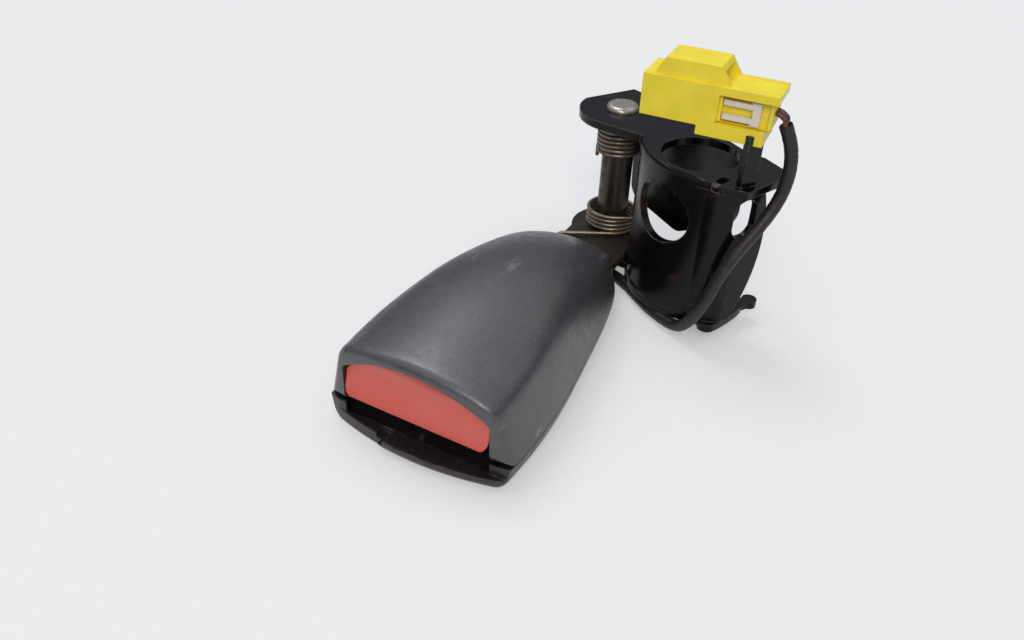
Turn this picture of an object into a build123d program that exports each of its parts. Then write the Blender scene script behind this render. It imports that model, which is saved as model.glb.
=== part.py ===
from build123d import *
import os
from math import acos, atan2, cos, degrees, hypot, radians, sin, sqrt, tan

# Seat belt buckle on its swivelling anchor bracket, in millimetres.
# Origin: axis of the bracket's seat-post bore, at the underside of its base plate.
# +Y runs from the button end towards the pivot rivet, +X to the right, +Z up the rivet.

# ---------------------------------------------------------------- driving sizes
SHEET = 2.4                 # bracket steel
BRACKET_HEIGHT = 46.5       # underside of base plate to top face of top plate
SWIVEL_REST = -33.0         # bracket's long axis, measured from the head's +X
BORE_FROM_PIVOT = 36.0      # along the bracket's long axis
BORE_ASIDE = 2.8            # across it
BORE_R = 10.0               # seat-post bore in the base plate
ACCESS_R = 11.2             # wider hole in the top plate

SLEEVE_R = 5.0
RIVET_R = 3.5
RIVET_HEAD_R = 5.0
RIVET_DOME = 1.7
DOME_ROUND = 0.85               # share of the dome that its rounded edge takes
RIVET_TAIL_R = 6.0
RUN_CLEAR = 0.08            # running fit, on the radius
PRESS_CLEAR = 0.02          # tight fit between still pieces, on the radius
GAP = 0.3                   # between pieces that move past each other

STRAP_T = 2.5
STRAP_HALF_W = 11.2
STRAP_END_R = 13.0
HEAD_REACH = 112.5          # pivot axis to the head's front corners
HEAD_LEN = 86.5
COVER_WALL = 2.0
LOWER_DEPTH = 7.0
SEAM = 0.25                 # open line between the two covers
CHIN_FRONT = -7.2           # chin in the middle, back from the corners
CHIN_SIDE = -1.8            # and beyond its sides
CHIN_R = 3.0
CHIN_STEP = 1.6             # how much less it stands out left of its nick

FRAME_T = 2.2
FRAME_HALF_W = 15.4
BUTTON_HALF_W = 21.0
BUTTON_TRAVEL = 5.0
EJECT_TRAVEL = 14.0
LATCH_DROP = 8.0            # degrees
SWITCH_TRAVEL = 2.0
LOCK_TRAVEL = 2.0           # connector lock

SLEEVING_R = 1.8            # lead sleeve
WIRE_R = 0.65
SPRING_WIRE_R = 0.6

# ---------------------------------------------------------------- derived places
SW = radians(SWIVEL_REST)
PIVOT_X = -(BORE_FROM_PIVOT * cos(SW) - BORE_ASIDE * sin(SW))
PIVOT_Y = -(BORE_FROM_PIVOT * sin(SW) + BORE_ASIDE * cos(SW))
TOP_Z = BRACKET_HEIGHT - SHEET
STRAP_Z = SHEET + GAP
PARTING_Z = STRAP_Z - 0.2
FRONT_Y = PIVOT_Y - HEAD_REACH
FLOOR_Z = PARTING_Z - LOWER_DEPTH


def bracket_plane(z):
    """Horizontal plane at height z, x along the bracket, origin on the pivot axis."""
    return Plane(origin=(PIVOT_X, PIVOT_Y, z), x_dir=(cos(SW), sin(SW), 0), z_dir=(0, 0, 1))


def bracket_side(v):
    """Upright plane along the bracket at v across it: x along, y up."""
    base = bracket_plane(0)
    spot = base.from_local_coords(Vector(0, v, 0))
    return Plane(origin=spot, x_dir=base.x_dir, z_dir=-base.y_dir)


def bracket_end(u):
    """Upright plane across the bracket at u along it: x across, y up."""
    base = bracket_plane(0)
    spot = base.from_local_coords(Vector(u, 0, 0))
    return Plane(origin=spot, x_dir=base.y_dir, z_dir=base.x_dir)


def head_plane(height):
    """Horizontal plane above the parting line, x across the head, y back from its front."""
    return Plane(origin=(PIVOT_X, FRONT_Y, PARTING_Z + height))


def head_section(back):
    """Upright plane across the head, back from its front corners: x across, y up."""
    return Plane(origin=(PIVOT_X, FRONT_Y + back, PARTING_Z), x_dir=(1, 0, 0), z_dir=(0, -1, 0))


def head_side(across=0.0):
    """Upright plane along the head: x back from its front, y up, facing -X."""
    return Plane(origin=(PIVOT_X + across, FRONT_Y, PARTING_Z), x_dir=(0, 1, 0), z_dir=(1, 0, 0))


os.makedirs("parts", exist_ok=True)


def save(piece, name):
    """Labels a finished piece and writes its STEP file."""
    piece.part.label = name
    export_step(piece.part, "parts/" + name + ".step")


# ================================================================ anchor bracket
WALL_LEFT = (19.2, -4.4)
WALL_CROWN = (34.6, -9.6)
WALL_RIGHT = (50.0, -4.4)
WALL_CORNER = (54.6, -1.2)
WALL_SIDE_U = 56.0
WALL_SIDE_V = 3.0
NECK = (18.2, -5.6)                 # where the plates leave the lobe round the pivot
TOP_CROWN = (WALL_CROWN[0], WALL_CROWN[1] - SHEET / 2)
BASE_CROWN = (WALL_CROWN[0], WALL_CROWN[1] - 1.6)
BACK_V = 15.8
LOBE_R = 13.3
LOBE_LEFT = -12.0
LOBE_BACK = 12.2
REAR_TAB_LEFT = -11.0
REAR_TAB_RIGHT = 42.0
NOTCH = (52.9, -5.5)                # bite in the base plate that the lead drops through
NOTCH_R = SLEEVING_R + 0.5
EAR = (51.5, 17.6)
EAR_R = 2.3
TANG_U = 46.0                       # turned-down tang that keeps the bracket from turning
TANG_W = 6.0
POST_U = 55.6
POST_W = 5.0
POST_V = 2.0
POST_T = 2.0
CONN_RISE = 14.5                    # connector's underside above the top plate
STEP_DROP = 2.5                     # its deeper stretch below that
POST_GRIP = 2.5                     # post inside the connector
POST_H = CONN_RISE - STEP_DROP + POST_GRIP


def lobe_edge():
    """Rounded end of a bracket plate round the pivot, from its neck to its far corner."""
    tangent = atan2(NECK[1], NECK[0]) - acos(LOBE_R / hypot(*NECK))
    knee = (LOBE_R * cos(tangent), LOBE_R * sin(tangent))
    flank = (LOBE_LEFT, -sqrt(LOBE_R ** 2 - LOBE_LEFT ** 2))
    Line(NECK, knee)
    ThreePointArc(knee, (0, -LOBE_R), flank)
    Line(flank, (LOBE_LEFT, LOBE_BACK))


def wall_path():
    """Centre line of the curved wall, from the pivot side round to the far side."""
    ThreePointArc(WALL_LEFT, WALL_CROWN, WALL_RIGHT)
    ThreePointArc(WALL_RIGHT, WALL_CORNER, (WALL_SIDE_U, WALL_SIDE_V))


TOP_LOBE = ((54.8, -4.2), (60.2, 0.2), (57.8, 13.2), (53.2, 18.0), (45.5, 18.0), (42.0, BACK_V))
BASE_RIGHT = (50.9, -4.3)
BASE_LOBE = ((54.9, -4.0), (57.3, -3.0), (57.9, -0.6))
BASE_FLANK = (56.4, 6.0)
BASE_REAR = (53.8, 12.8)
RELIEF_W = 2.4
RELIEF_AT = (52.3, -3.2)
BEND_R = 1.2                        # outside of the bend from the top plate into the wall
HOLE_NEAR = (37.5, 32.0)            # wide hole in the curved wall: along, height
HOLE_NEAR_SIZE = (10.0, 9.0)        # its half width and half height
HOLE_FAR = (3.8, 36.0)              # hole in the far wall: across, height
HOLE_FAR_SIZE = (12.0, 7.2)
STRAP_WAY = 21.0                    # the curved wall stops short of the strap's sweep below this height
STRAP_WAY_H = 7.0
TOP_SHOULDER = (50.6, -5.6)   # where the wall's crown meets the right lobe
TOP_REAR_U = 4.0
BASE_BACK_EDGE = ((48.0, BACK_V), (24.0, BACK_V), (17.0, LOBE_BACK))
FAR_WALL_REAR = ((4.8, SHEET), (11.6, 25.0), (9.0, TOP_Z))
REAR_TAB_EDGE = ((REAR_TAB_LEFT + 2, 10.0), (18.0, 9.0), (REAR_TAB_RIGHT, 24.0))
REAR_TAB_RADII = [5, 8, 9]

with BuildPart() as bracket:
    # top plate, rolled over along its front edge
    with BuildSketch(bracket_plane(TOP_Z)):
        with BuildLine():
            lobe_edge()
            ThreePointArc(NECK, TOP_CROWN, TOP_SHOULDER)
            Polyline(TOP_SHOULDER, *TOP_LOBE, (TOP_REAR_U, BACK_V), (LOBE_LEFT, LOBE_BACK))
        make_face()
    extrude(amount=SHEET)
    rims = bracket.faces().sort_by(Axis.Z)[-1].edges()
    fillet(rims.filter_by(GeomType.CIRCLE).sort_by(SortBy.RADIUS)[-1], BEND_R)
    # access hole and the relief beside the curved wall
    with BuildSketch(bracket_plane(TOP_Z)):
        with Locations((BORE_FROM_PIVOT, BORE_ASIDE)):
            Circle(ACCESS_R)
        with Locations(Location(RELIEF_AT, 22)):
            Rectangle(RELIEF_W, 3 * RELIEF_W)
        Circle(RIVET_R + PRESS_CLEAR)
    extrude(amount=SHEET, mode=Mode.SUBTRACT)
    # base plate with its bore, the lead's notch, a rounded corner and an ear
    with BuildSketch(bracket_plane(0)):
        with BuildLine():
            lobe_edge()
            ThreePointArc(NECK, BASE_CROWN, BASE_RIGHT)
            Line(BASE_RIGHT, BASE_LOBE[0])
            ThreePointArc(*BASE_LOBE)
            ThreePointArc(BASE_LOBE[-1], BASE_FLANK, BASE_REAR)
            Polyline(BASE_REAR, *BASE_BACK_EDGE, (LOBE_LEFT, LOBE_BACK))
        make_face()
        with Locations((EAR[0], (EAR[1] + BASE_REAR[1]) / 2)):
            Rectangle(1.3 * EAR_R, EAR[1] - BASE_REAR[1] + 1)
        with Locations(EAR):
            Circle(EAR_R)
        with Locations(NOTCH):
            Circle(NOTCH_R, mode=Mode.SUBTRACT)
        with Locations((BORE_FROM_PIVOT, BORE_ASIDE)):
            Circle(BORE_R, mode=Mode.SUBTRACT)
        Circle(RIVET_R + PRESS_CLEAR, mode=Mode.SUBTRACT)
    extrude(amount=SHEET)
    # turned-down tang on the rear edge
    with BuildSketch(bracket_plane(FLOOR_Z)):
        with Locations((TANG_U, BACK_V - SHEET / 2)):
            Rectangle(TANG_W, SHEET)
    extrude(amount=SHEET / 2 - FLOOR_Z)
    # curved wall
    with BuildSketch(bracket_plane(SHEET)):
        with BuildLine():
            wall_path()
        trace(line_width=SHEET)
    extrude(amount=TOP_Z - SHEET)
    # far wall, with a bulging rear edge
    with BuildSketch(bracket_end(WALL_SIDE_U - SHEET / 2)):
        with BuildLine():
            Line((WALL_SIDE_V - 1, TOP_Z), (WALL_SIDE_V - 1, SHEET))
            Line((WALL_SIDE_V - 1, SHEET), FAR_WALL_REAR[0])
            ThreePointArc(*FAR_WALL_REAR)
            Line(FAR_WALL_REAR[-1], (WALL_SIDE_V - 1, TOP_Z))
        make_face()
    extrude(amount=SHEET)
    # rear tab hanging from the top plate
    with BuildSketch(bracket_side(BACK_V)):
        with BuildLine():
            FilletPolyline((REAR_TAB_LEFT, TOP_Z), *REAR_TAB_EDGE, (REAR_TAB_RIGHT, TOP_Z),
                           radius=REAR_TAB_RADII)
            Line((REAR_TAB_RIGHT, TOP_Z), (REAR_TAB_LEFT, TOP_Z))
        make_face()
    extrude(amount=SHEET)
    # holes in the walls and the strap's way past the curved one
    with BuildSketch(bracket_side(0)):
        with Locations(HOLE_NEAR):
            Ellipse(*HOLE_NEAR_SIZE)
        with Locations((STRAP_WAY - 5, SHEET + (STRAP_WAY_H - SHEET) / 2)):
            Rectangle(10, STRAP_WAY_H - SHEET)
    extrude(amount=15, mode=Mode.SUBTRACT)
    with BuildSketch(bracket_end(WALL_SIDE_U - 5)):
        with Locations(HOLE_FAR):
            SlotOverall(*HOLE_FAR_SIZE, rotation=90)
    extrude(amount=10, mode=Mode.SUBTRACT)
    # upright tab that carries the connector
    with BuildSketch(bracket_plane(TOP_Z)):
        with Locations((POST_U + POST_T / 2, POST_V)):
            Rectangle(POST_T, POST_W)
    extrude(amount=SHEET + POST_H)
save(bracket, "anchor_bracket")

# ================================================================ pivot
PIVOT_AXIS = Axis((PIVOT_X, PIVOT_Y, 0), (0, 0, 1))
WASHER_T = 1.4
WASHER_RIM = 2.0
COLLAR_R = 6.7
COLLAR_T = 1.6
COLLAR_Z = STRAP_Z + STRAP_T + GAP


def pivot_ring(inner, outer, low, high):
    """Ring round the pivot axis, as a sketch and a revolve of the open builder."""
    with BuildSketch(Plane(origin=(PIVOT_X, PIVOT_Y, 0), x_dir=(1, 0, 0), z_dir=(0, -1, 0))) as wall:
        with Locations(((inner + outer) / 2, (low + high) / 2)):
            Rectangle(outer - inner, high - low)
    revolve(wall.sketch, axis=PIVOT_AXIS)


with BuildPart() as rivet:
    with BuildSketch(Plane(origin=(PIVOT_X, PIVOT_Y, 0), x_dir=(1, 0, 0), z_dir=(0, -1, 0))):
        with BuildLine():
            Polyline((0, FLOOR_Z), (RIVET_TAIL_R - 1, FLOOR_Z), (RIVET_TAIL_R, FLOOR_Z + 1),
                     (RIVET_TAIL_R, -WASHER_T), (RIVET_R, -WASHER_T), (RIVET_R, BRACKET_HEIGHT),
                     (RIVET_HEAD_R, BRACKET_HEIGHT), (RIVET_HEAD_R, BRACKET_HEIGHT + RIVET_DOME),
                     (0, BRACKET_HEIGHT + RIVET_DOME), close=True)
        make_face()
    revolve(axis=PIVOT_AXIS)
    fillet(rivet.edges().sort_by(Axis.Z)[-1], DOME_ROUND * RIVET_DOME)
save(rivet, "pivot_rivet")

with BuildPart() as rivet_washer:
    pivot_ring(RIVET_R + PRESS_CLEAR, RIVET_TAIL_R + WASHER_RIM, -WASHER_T, 0)
save(rivet_washer, "rivet_washer")

with BuildPart() as sleeve:
    pivot_ring(RIVET_R + PRESS_CLEAR, SLEEVE_R, SHEET, TOP_Z)
save(sleeve, "pivot_sleeve")

with BuildPart() as collar:
    pivot_ring(SLEEVE_R + PRESS_CLEAR, COLLAR_R, COLLAR_Z, COLLAR_Z + COLLAR_T)
save(collar, "thrust_collar")

# ---------------------------------------------------------------- torsion springs
LOWER_COIL_R = 7.8
UPPER_COIL_R = 6.5
COIL_PITCH = 1.45
LOWER_TURNS = 4.0
UPPER_TURNS = 7.0
LOWER_COIL_Z = STRAP_Z + STRAP_T + SPRING_WIRE_R + 0.8
UPPER_COIL_Z = TOP_Z - SPRING_WIRE_R - 0.2 - UPPER_TURNS * COIL_PITCH
LEG_HOOK = (-STRAP_HALF_W - SPRING_WIRE_R - 0.35, -15.2)    # where the lower leg crosses the strap's edge


def tangent_start(target, radius):
    """Angle round the pivot at which a coil's tangent runs clockwise to the target."""
    away = hypot(*target)
    return degrees(atan2(target[1], target[0])) + degrees(acos(radius / away))


def coil(turns, radius, z, start):
    """Right-handed coil line round the pivot, rising from z at the start angle."""
    line = Helix(COIL_PITCH, turns * COIL_PITCH, radius, mode=Mode.PRIVATE)
    return Pos(PIVOT_X, PIVOT_Y, z) * Rot(0, 0, start) * line


def wire_sweep(line, radius):
    """Round wire swept along the whole line in the open builder."""
    with BuildSketch(Plane(origin=line @ 0, z_dir=line % 0)) as section:
        Circle(radius)
    sweep(section.sketch, path=line)


SPRING_BEND_R = 1.6
LOWER_TAIL = 6.0
UPPER_START = 205.0            # degrees round the pivot
UPPER_LEG = 3.2
UPPER_HOOK = 4.0
UPPER_TAIL = 2.0
lower_start = tangent_start(LEG_HOOK, LOWER_COIL_R)
lower_leg = sqrt(hypot(*LEG_HOOK) ** 2 - LOWER_COIL_R ** 2)
with BuildPart() as lower_spring:
    turns = coil(LOWER_TURNS, LOWER_COIL_R, LOWER_COIL_Z, lower_start)
    with BuildLine() as lower_line:
        foot = turns @ 0 - (turns % 0) * lower_leg
        FilletPolyline(foot - Vector(0, 0, STRAP_T + 1.0), foot, turns @ 0, radius=SPRING_BEND_R)
        add(turns)
        Line(turns @ 1, turns @ 1 + (turns % 1) * LOWER_TAIL)
    wire_sweep(lower_line.line, SPRING_WIRE_R)
save(lower_spring, "lower_torsion_spring")

with BuildPart() as upper_spring:
    turns = coil(UPPER_TURNS, UPPER_COIL_R, UPPER_COIL_Z, UPPER_START)
    with BuildLine() as upper_line:
        foot = turns @ 0 - (turns % 0) * UPPER_LEG
        FilletPolyline(foot - Vector(0, 0, UPPER_HOOK), foot, turns @ 0, radius=SPRING_BEND_R)
        add(turns)
        Line(turns @ 1, turns @ 1 + (turns % 1) * UPPER_TAIL)
    wire_sweep(upper_line.line, SPRING_WIRE_R)
save(upper_spring, "upper_torsion_spring")

# ================================================================ strap and its rivets
STRAP_FRONT = 60.0
STRAP_RIVETS = (HEAD_LEN - 21.0, HEAD_LEN - 11.5)
STRAP_RIVET_R = 3.0
STRAP_RIVET_HEAD_R = 4.3

with BuildPart() as strap:
    with BuildSketch(head_plane(STRAP_Z - PARTING_Z)):
        with Locations((0, (STRAP_FRONT + HEAD_REACH) / 2)):
            Rectangle(2 * STRAP_HALF_W, HEAD_REACH - STRAP_FRONT)
        with Locations((0, HEAD_REACH)):
            Circle(STRAP_END_R)
            Circle(SLEEVE_R + RUN_CLEAR, mode=Mode.SUBTRACT)
        with Locations(*[(0, back) for back in STRAP_RIVETS]):
            Circle(STRAP_RIVET_R + PRESS_CLEAR, mode=Mode.SUBTRACT)
    extrude(amount=STRAP_T)
save(strap, "anchor_strap")

FRAME_TOP = STRAP_Z - PARTING_Z
FRAME_LOW = FRAME_TOP - FRAME_T
FRAME_FRONT = 3.0
FRAME_REAR = 80.0
REAR_HALF_W = FRAME_HALF_W - 2.5
WALL_FROM = 17.0
WALL_TO = 60.0
WALL_TOP = 14.0
BAR_R = 2.0
BAR_BACK = 24.0
BAR_H = 10.4
PIN_R = 1.5
PIN_BACK = 50.0
PIN_H = 10.0
SPRING_TAB = 54.7
SPRING_TAB_H = 4.8
WIRE_HOLE = (-10.0, 57.8)
WIRE_HOLE_SIZE = 5.2
NOSE_HOLE_BACK = 27.5          # hole that the latch's nose drops through
NOSE_HOLE = (13.0, 8.0)
SPRING_TAB_W = 6.0
SPRING_TAB_T = 1.6
WALL_REAR_R = 6.0
RIVET_TAIL_T = 1.4
STRAP_RIVET_HEAD_T = 1.6
STRAP_RIVET_TAPER = 25.0

with BuildPart() as strap_rivets:
    for back in STRAP_RIVETS:
        with BuildSketch(head_plane(FRAME_LOW - RIVET_TAIL_T)):
            with Locations((0, back)):
                Circle(STRAP_RIVET_HEAD_R - 0.6)
        extrude(amount=RIVET_TAIL_T)
        with BuildSketch(head_plane(FRAME_LOW)):
            with Locations((0, back)):
                Circle(STRAP_RIVET_R)
        extrude(amount=FRAME_T + STRAP_T)
        with BuildSketch(head_plane(FRAME_TOP + STRAP_T)):
            with Locations((0, back)):
                Circle(STRAP_RIVET_HEAD_R)
        extrude(amount=STRAP_RIVET_HEAD_T, taper=STRAP_RIVET_TAPER)
save(strap_rivets, "strap_rivets")

# ================================================================ buckle frame
with BuildPart() as frame:
    with BuildSketch(head_plane(FRAME_LOW)) as frame_base:
        with Locations((0, (FRAME_FRONT + WALL_TO) / 2)):
            RectangleRounded(2 * FRAME_HALF_W, WALL_TO - FRAME_FRONT, 2.0)
        with Locations((0, (WALL_TO + FRAME_REAR) / 2 - 2)):
            Rectangle(2 * REAR_HALF_W, FRAME_REAR - WALL_TO + 4)
        with Locations((0, NOSE_HOLE_BACK)):
            RectangleRounded(*NOSE_HOLE, 1.5, mode=Mode.SUBTRACT)
        with Locations((WIRE_HOLE[0], WIRE_HOLE[1] + 1.1)):
            RectangleRounded(WIRE_HOLE_SIZE, WIRE_HOLE_SIZE, 1.0, mode=Mode.SUBTRACT)
        with Locations(*[(0, back) for back in STRAP_RIVETS]):
            Circle(STRAP_RIVET_R + PRESS_CLEAR, mode=Mode.SUBTRACT)
    extrude(amount=FRAME_T)
    with BuildSketch(head_plane(FRAME_TOP)):
        with Locations(*[(s * (FRAME_HALF_W - FRAME_T / 2), (WALL_FROM + WALL_TO) / 2) for s in (-1, 1)]):
            Rectangle(FRAME_T, WALL_TO - WALL_FROM)
        with Locations((0, SPRING_TAB + SPRING_TAB_T / 2)):
            Rectangle(SPRING_TAB_W, SPRING_TAB_T)
    extrude(amount=SPRING_TAB_H - FRAME_TOP)
    with BuildSketch(head_plane(SPRING_TAB_H)):
        with Locations(*[(s * (FRAME_HALF_W - FRAME_T / 2), (WALL_FROM + WALL_TO) / 2) for s in (-1, 1)]):
            Rectangle(FRAME_T, WALL_TO - WALL_FROM)
    extrude(amount=WALL_TOP - SPRING_TAB_H)
    with BuildSketch(head_side()):
        with Locations((BAR_BACK + BUTTON_TRAVEL / 2, BAR_H)):
            SlotOverall(BUTTON_TRAVEL + 2 * BAR_R + 0.6, 2 * BAR_R + 0.4)
        with Locations((PIN_BACK, PIN_H)):
            Circle(PIN_R + PRESS_CLEAR)
        with Locations((WALL_TO, WALL_TOP)):
            Circle(WALL_REAR_R)
    extrude(amount=FRAME_HALF_W + 1, both=True, mode=Mode.SUBTRACT)
save(frame, "buckle_frame")


def cross_bar(back, height, radius, half_length):
    """Round bar across the head in the open builder."""
    with BuildSketch(head_side(-half_length)) as section:
        with Locations((back, height)):
            Circle(radius)
    extrude(section.sketch, amount=2 * half_length)


with BuildPart() as lock_bar:
    cross_bar(BAR_BACK, BAR_H, BAR_R, FRAME_HALF_W + 2.2)
save(lock_bar, "lock_bar")

with BuildPart() as latch_pin:
    cross_bar(PIN_BACK, PIN_H, PIN_R, FRAME_HALF_W)
save(latch_pin, "latch_pin")

# ---------------------------------------------------------------- latch
LATCH_HALF_W = 9.5
NOSE_HALF_W = 5.0
NOSE_FROM = 26.0
NOSE_TO = 29.0
NOSE_LOW = 4.6
LATCH_LOW = 6.0
LATCH_T = 1.9
EYE_R = 2.8
NOSE_ROOT = 0.5
NOSE_RAMP = 0.8
LATCH_BEND = PIN_BACK - 3.5

with BuildPart() as latch:
    with BuildSketch(head_side(-NOSE_HALF_W)):
        with BuildLine():
            Polyline((NOSE_FROM, LATCH_LOW + NOSE_ROOT), (NOSE_FROM, NOSE_LOW + NOSE_RAMP),
                     (NOSE_FROM + NOSE_RAMP, NOSE_LOW), (NOSE_TO, NOSE_LOW), (NOSE_TO, LATCH_LOW + NOSE_ROOT),
                     (NOSE_FROM, LATCH_LOW + NOSE_ROOT))
        make_face()
    extrude(amount=2 * NOSE_HALF_W)
    with BuildSketch(head_side(-LATCH_HALF_W)):
        with BuildLine():
            Polyline((NOSE_FROM, LATCH_LOW), (LATCH_BEND, LATCH_LOW), (PIN_BACK, PIN_H - EYE_R + 0.3),
                     (PIN_BACK, PIN_H), (PIN_BACK - EYE_R + 0.2, PIN_H), (LATCH_BEND - 1.5, LATCH_LOW + LATCH_T),
                     (NOSE_FROM, LATCH_LOW + LATCH_T), (NOSE_FROM, LATCH_LOW))
        make_face()
        with Locations((PIN_BACK, PIN_H)):
            Circle(EYE_R)
            Circle(PIN_R + RUN_CLEAR, mode=Mode.SUBTRACT)
    extrude(amount=2 * LATCH_HALF_W)
save(latch, "latch")

# ---------------------------------------------------------------- ejector
EJECT_FRONT = 20.0
EJECT_HALF_W = FRAME_HALF_W - FRAME_T - 0.6
EJECT_TOP = 3.4
EJECT_LOW = FRAME_TOP + 0.2
FORK_HALF_W = NOSE_HALF_W + 0.6
FORK_DEPTH = 12.0
EJECT_LEN = 20.0
EJECT_SPRING_H = 2.3
EJECT_SPRING_R = 1.1
EJECT_POCKET = 36.0
EJECT_SPRING_PLAY = 0.55
EJECT_RIB_W = 6.0
EJECT_RIB_TOP = 4.4

with BuildPart() as ejector:
    with BuildSketch(head_plane(EJECT_LOW)):
        with Locations((0, EJECT_FRONT + EJECT_LEN / 2)):
            RectangleRounded(2 * EJECT_HALF_W, EJECT_LEN, 1.5)
        with Locations((0, EJECT_FRONT + FORK_DEPTH / 2 - 1)):
            Rectangle(2 * FORK_HALF_W, FORK_DEPTH + 2, mode=Mode.SUBTRACT)
    extrude(amount=EJECT_TOP - EJECT_LOW)
    with BuildSketch(head_plane(EJECT_LOW)):
        with Locations((0, EJECT_FRONT + (FORK_DEPTH + EJECT_LEN) / 2)):
            Rectangle(EJECT_RIB_W, EJECT_LEN - FORK_DEPTH)
    extrude(amount=EJECT_RIB_TOP - EJECT_LOW)
    with BuildSketch(head_section(EJECT_FRONT + EJECT_LEN)):
        with Locations((0, EJECT_SPRING_H)):
            Circle(EJECT_SPRING_R + EJECT_SPRING_PLAY)
    extrude(amount=EJECT_FRONT + EJECT_LEN - EJECT_POCKET, mode=Mode.SUBTRACT)
save(ejector, "ejector")

# ---------------------------------------------------------------- spring seat between the frame walls
SEAT_FROM = 38.0
SEAT_TO = 44.5
SEAT_LOW = 9.2
LATCH_SPRING_BACK = 41.2
LATCH_SPRING_R = 1.9
LATCH_SPRING_TOP = 12.9
LATCH_SPRING_PLAY = 0.7
SEAT_PROUD = 0.6
SEAT_PEG_R = 1.2
SEAT_PEG_LEN = 2.0
SMALL_WIRE_R = 0.35
EJECT_WIRE_R = 0.3
SPRING_GAP = 0.1

with BuildPart() as spring_seat:
    with BuildSketch(head_plane(SEAT_LOW)):
        with Locations((0, (SEAT_FROM + SEAT_TO) / 2)):
            Rectangle(2 * (FRAME_HALF_W - FRAME_T - PRESS_CLEAR), SEAT_TO - SEAT_FROM)
    extrude(amount=WALL_TOP + SEAT_PROUD - SEAT_LOW)
    with BuildSketch(head_plane(SEAT_LOW)):
        with Locations((0, LATCH_SPRING_BACK)):
            Circle(LATCH_SPRING_R + LATCH_SPRING_PLAY)
    extrude(amount=LATCH_SPRING_TOP - SEAT_LOW, mode=Mode.SUBTRACT)
    with BuildSketch(head_section(SEAT_FROM)):
        with Locations((0, BAR_H)):
            Circle(SEAT_PEG_R)
    extrude(amount=SEAT_PEG_LEN)
save(spring_seat, "spring_seat")


def coil_spring(start, direction, length, turns, radius, wire):
    """Compression spring in the open builder, from start along direction."""
    pitch = (length - 2 * wire) / turns
    helix = Helix(pitch, turns * pitch, radius, mode=Mode.PRIVATE)
    base = Plane(origin=start, z_dir=direction)
    path = base.location * Pos(0, 0, wire) * helix
    with BuildSketch(Plane(origin=path @ 0, z_dir=path % 0)) as section:
        Circle(wire)
    sweep(section.sketch, path=path)


BAR_REAR = FRONT_Y + BAR_BACK + BAR_R
with BuildPart() as lock_spring:
    coil_spring((PIVOT_X, BAR_REAR + SPRING_GAP, PARTING_Z + BAR_H), (0, 1, 0),
                SEAT_FROM - BAR_BACK - BAR_R - 2 * SPRING_GAP, 5, LATCH_SPRING_R, SMALL_WIRE_R)
save(lock_spring, "lock_bar_spring")

with BuildPart() as latch_spring:
    coil_spring((PIVOT_X, FRONT_Y + LATCH_SPRING_BACK, PARTING_Z + LATCH_LOW + LATCH_T + SPRING_GAP),
                (0, 0, 1), LATCH_SPRING_TOP - LATCH_LOW - LATCH_T - 2 * SPRING_GAP, 4, LATCH_SPRING_R, SMALL_WIRE_R)
save(latch_spring, "latch_spring")

with BuildPart() as eject_spring:
    coil_spring((PIVOT_X, FRONT_Y + EJECT_POCKET + SPRING_GAP, PARTING_Z + EJECT_SPRING_H), (0, 1, 0),
                SPRING_TAB - EJECT_POCKET - 2 * SPRING_GAP, 9, EJECT_SPRING_R, EJECT_WIRE_R)
save(eject_spring, "ejector_spring")

# ================================================================ covers
# back from the front corners, half width at the parting line, height above it
STATIONS = ((-9.0, 26.4, 22.2), (12.0, 27.4, 25.0), (34.0, 25.6, 25.6), (56.0, 22.2, 23.0),
            (72.0, 19.2, 18.6), (HEAD_LEN, 13.2, 10.2))
SHOULDER_IN = 0.83                  # shoulder's place as parts of the half width and the height
SHOULDER_UP = 0.79
SHOULDER_R = 0.40
FRONT_BOW = -3.6                    # upper cover's front in the middle, back from the corners
FRONT_SIDE = -1.4                   # and at its sides
RIM_R = 3.0                         # rounding of the upper cover's front rim
MOUTH_HALF_W = BUTTON_HALF_W + 0.4
MOUTH_SPRING_H = 8.6
MOUTH_CROWN_H = 20.3
SLOT_LOW = -3.2
NICK_X = -8.5
NICK_W = 3.0
NICK_DEPTH = 1.3
FRAME_RIBS = (10.0, 40.0)
RIB_LEFT = -13.0
RIB_RIGHT = 13.0
RIB_T = 1.6
SNAPS = ((32.0, 20.4), (62.0, 16.4))
SNAP_T = 1.6
SNAP_W = 6.0
SNAP_TOP = 4.0
LEAD_X = -5.0
LEAD_ENTRY_H = -3.2
LEAD_PLAY = 0.7
WIRE_XS = (-9.2, -10.9)
PLUG_INSET = 1.3
PLUG_LOW = 1.6
PLUG_TOP = 8.5
WIRE_LOW = -3.3
PLUG_WIRES = ((4.8, 5.4), (7.2, 5.4))


def upper_section(half_width, height, low):
    """Closed cover profile: leaning sides, wide rounded shoulders, gently arched top."""
    shoulder = (SHOULDER_IN * half_width, SHOULDER_UP * height)
    with BuildLine() as edge:
        Line((-half_width, low), (-shoulder[0], shoulder[1]))
        ThreePointArc((-shoulder[0], shoulder[1]), (0, height), shoulder)
        Line(shoulder, (half_width, low))
        Line((half_width, low), (-half_width, low))
    made = make_face(edge.edges())
    fillet(made.vertices().filter_by_position(Axis.Y, low + 1, height), SHOULDER_R * height)


def lower_section(half_width, low, high):
    """Closed tray profile: sides that lean in to a flat, round-edged floor."""
    with BuildLine() as edge:
        Polyline((-half_width, high), (-half_width + 1.4, low), (half_width - 1.4, low),
                 (half_width, high), close=True)
    made = make_face(edge.edges())
    fillet(made.vertices().group_by(Axis.Y)[0], min(4.0, 0.55 * (high - low)))


TRIM_HALF_W = 30.0


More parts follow.
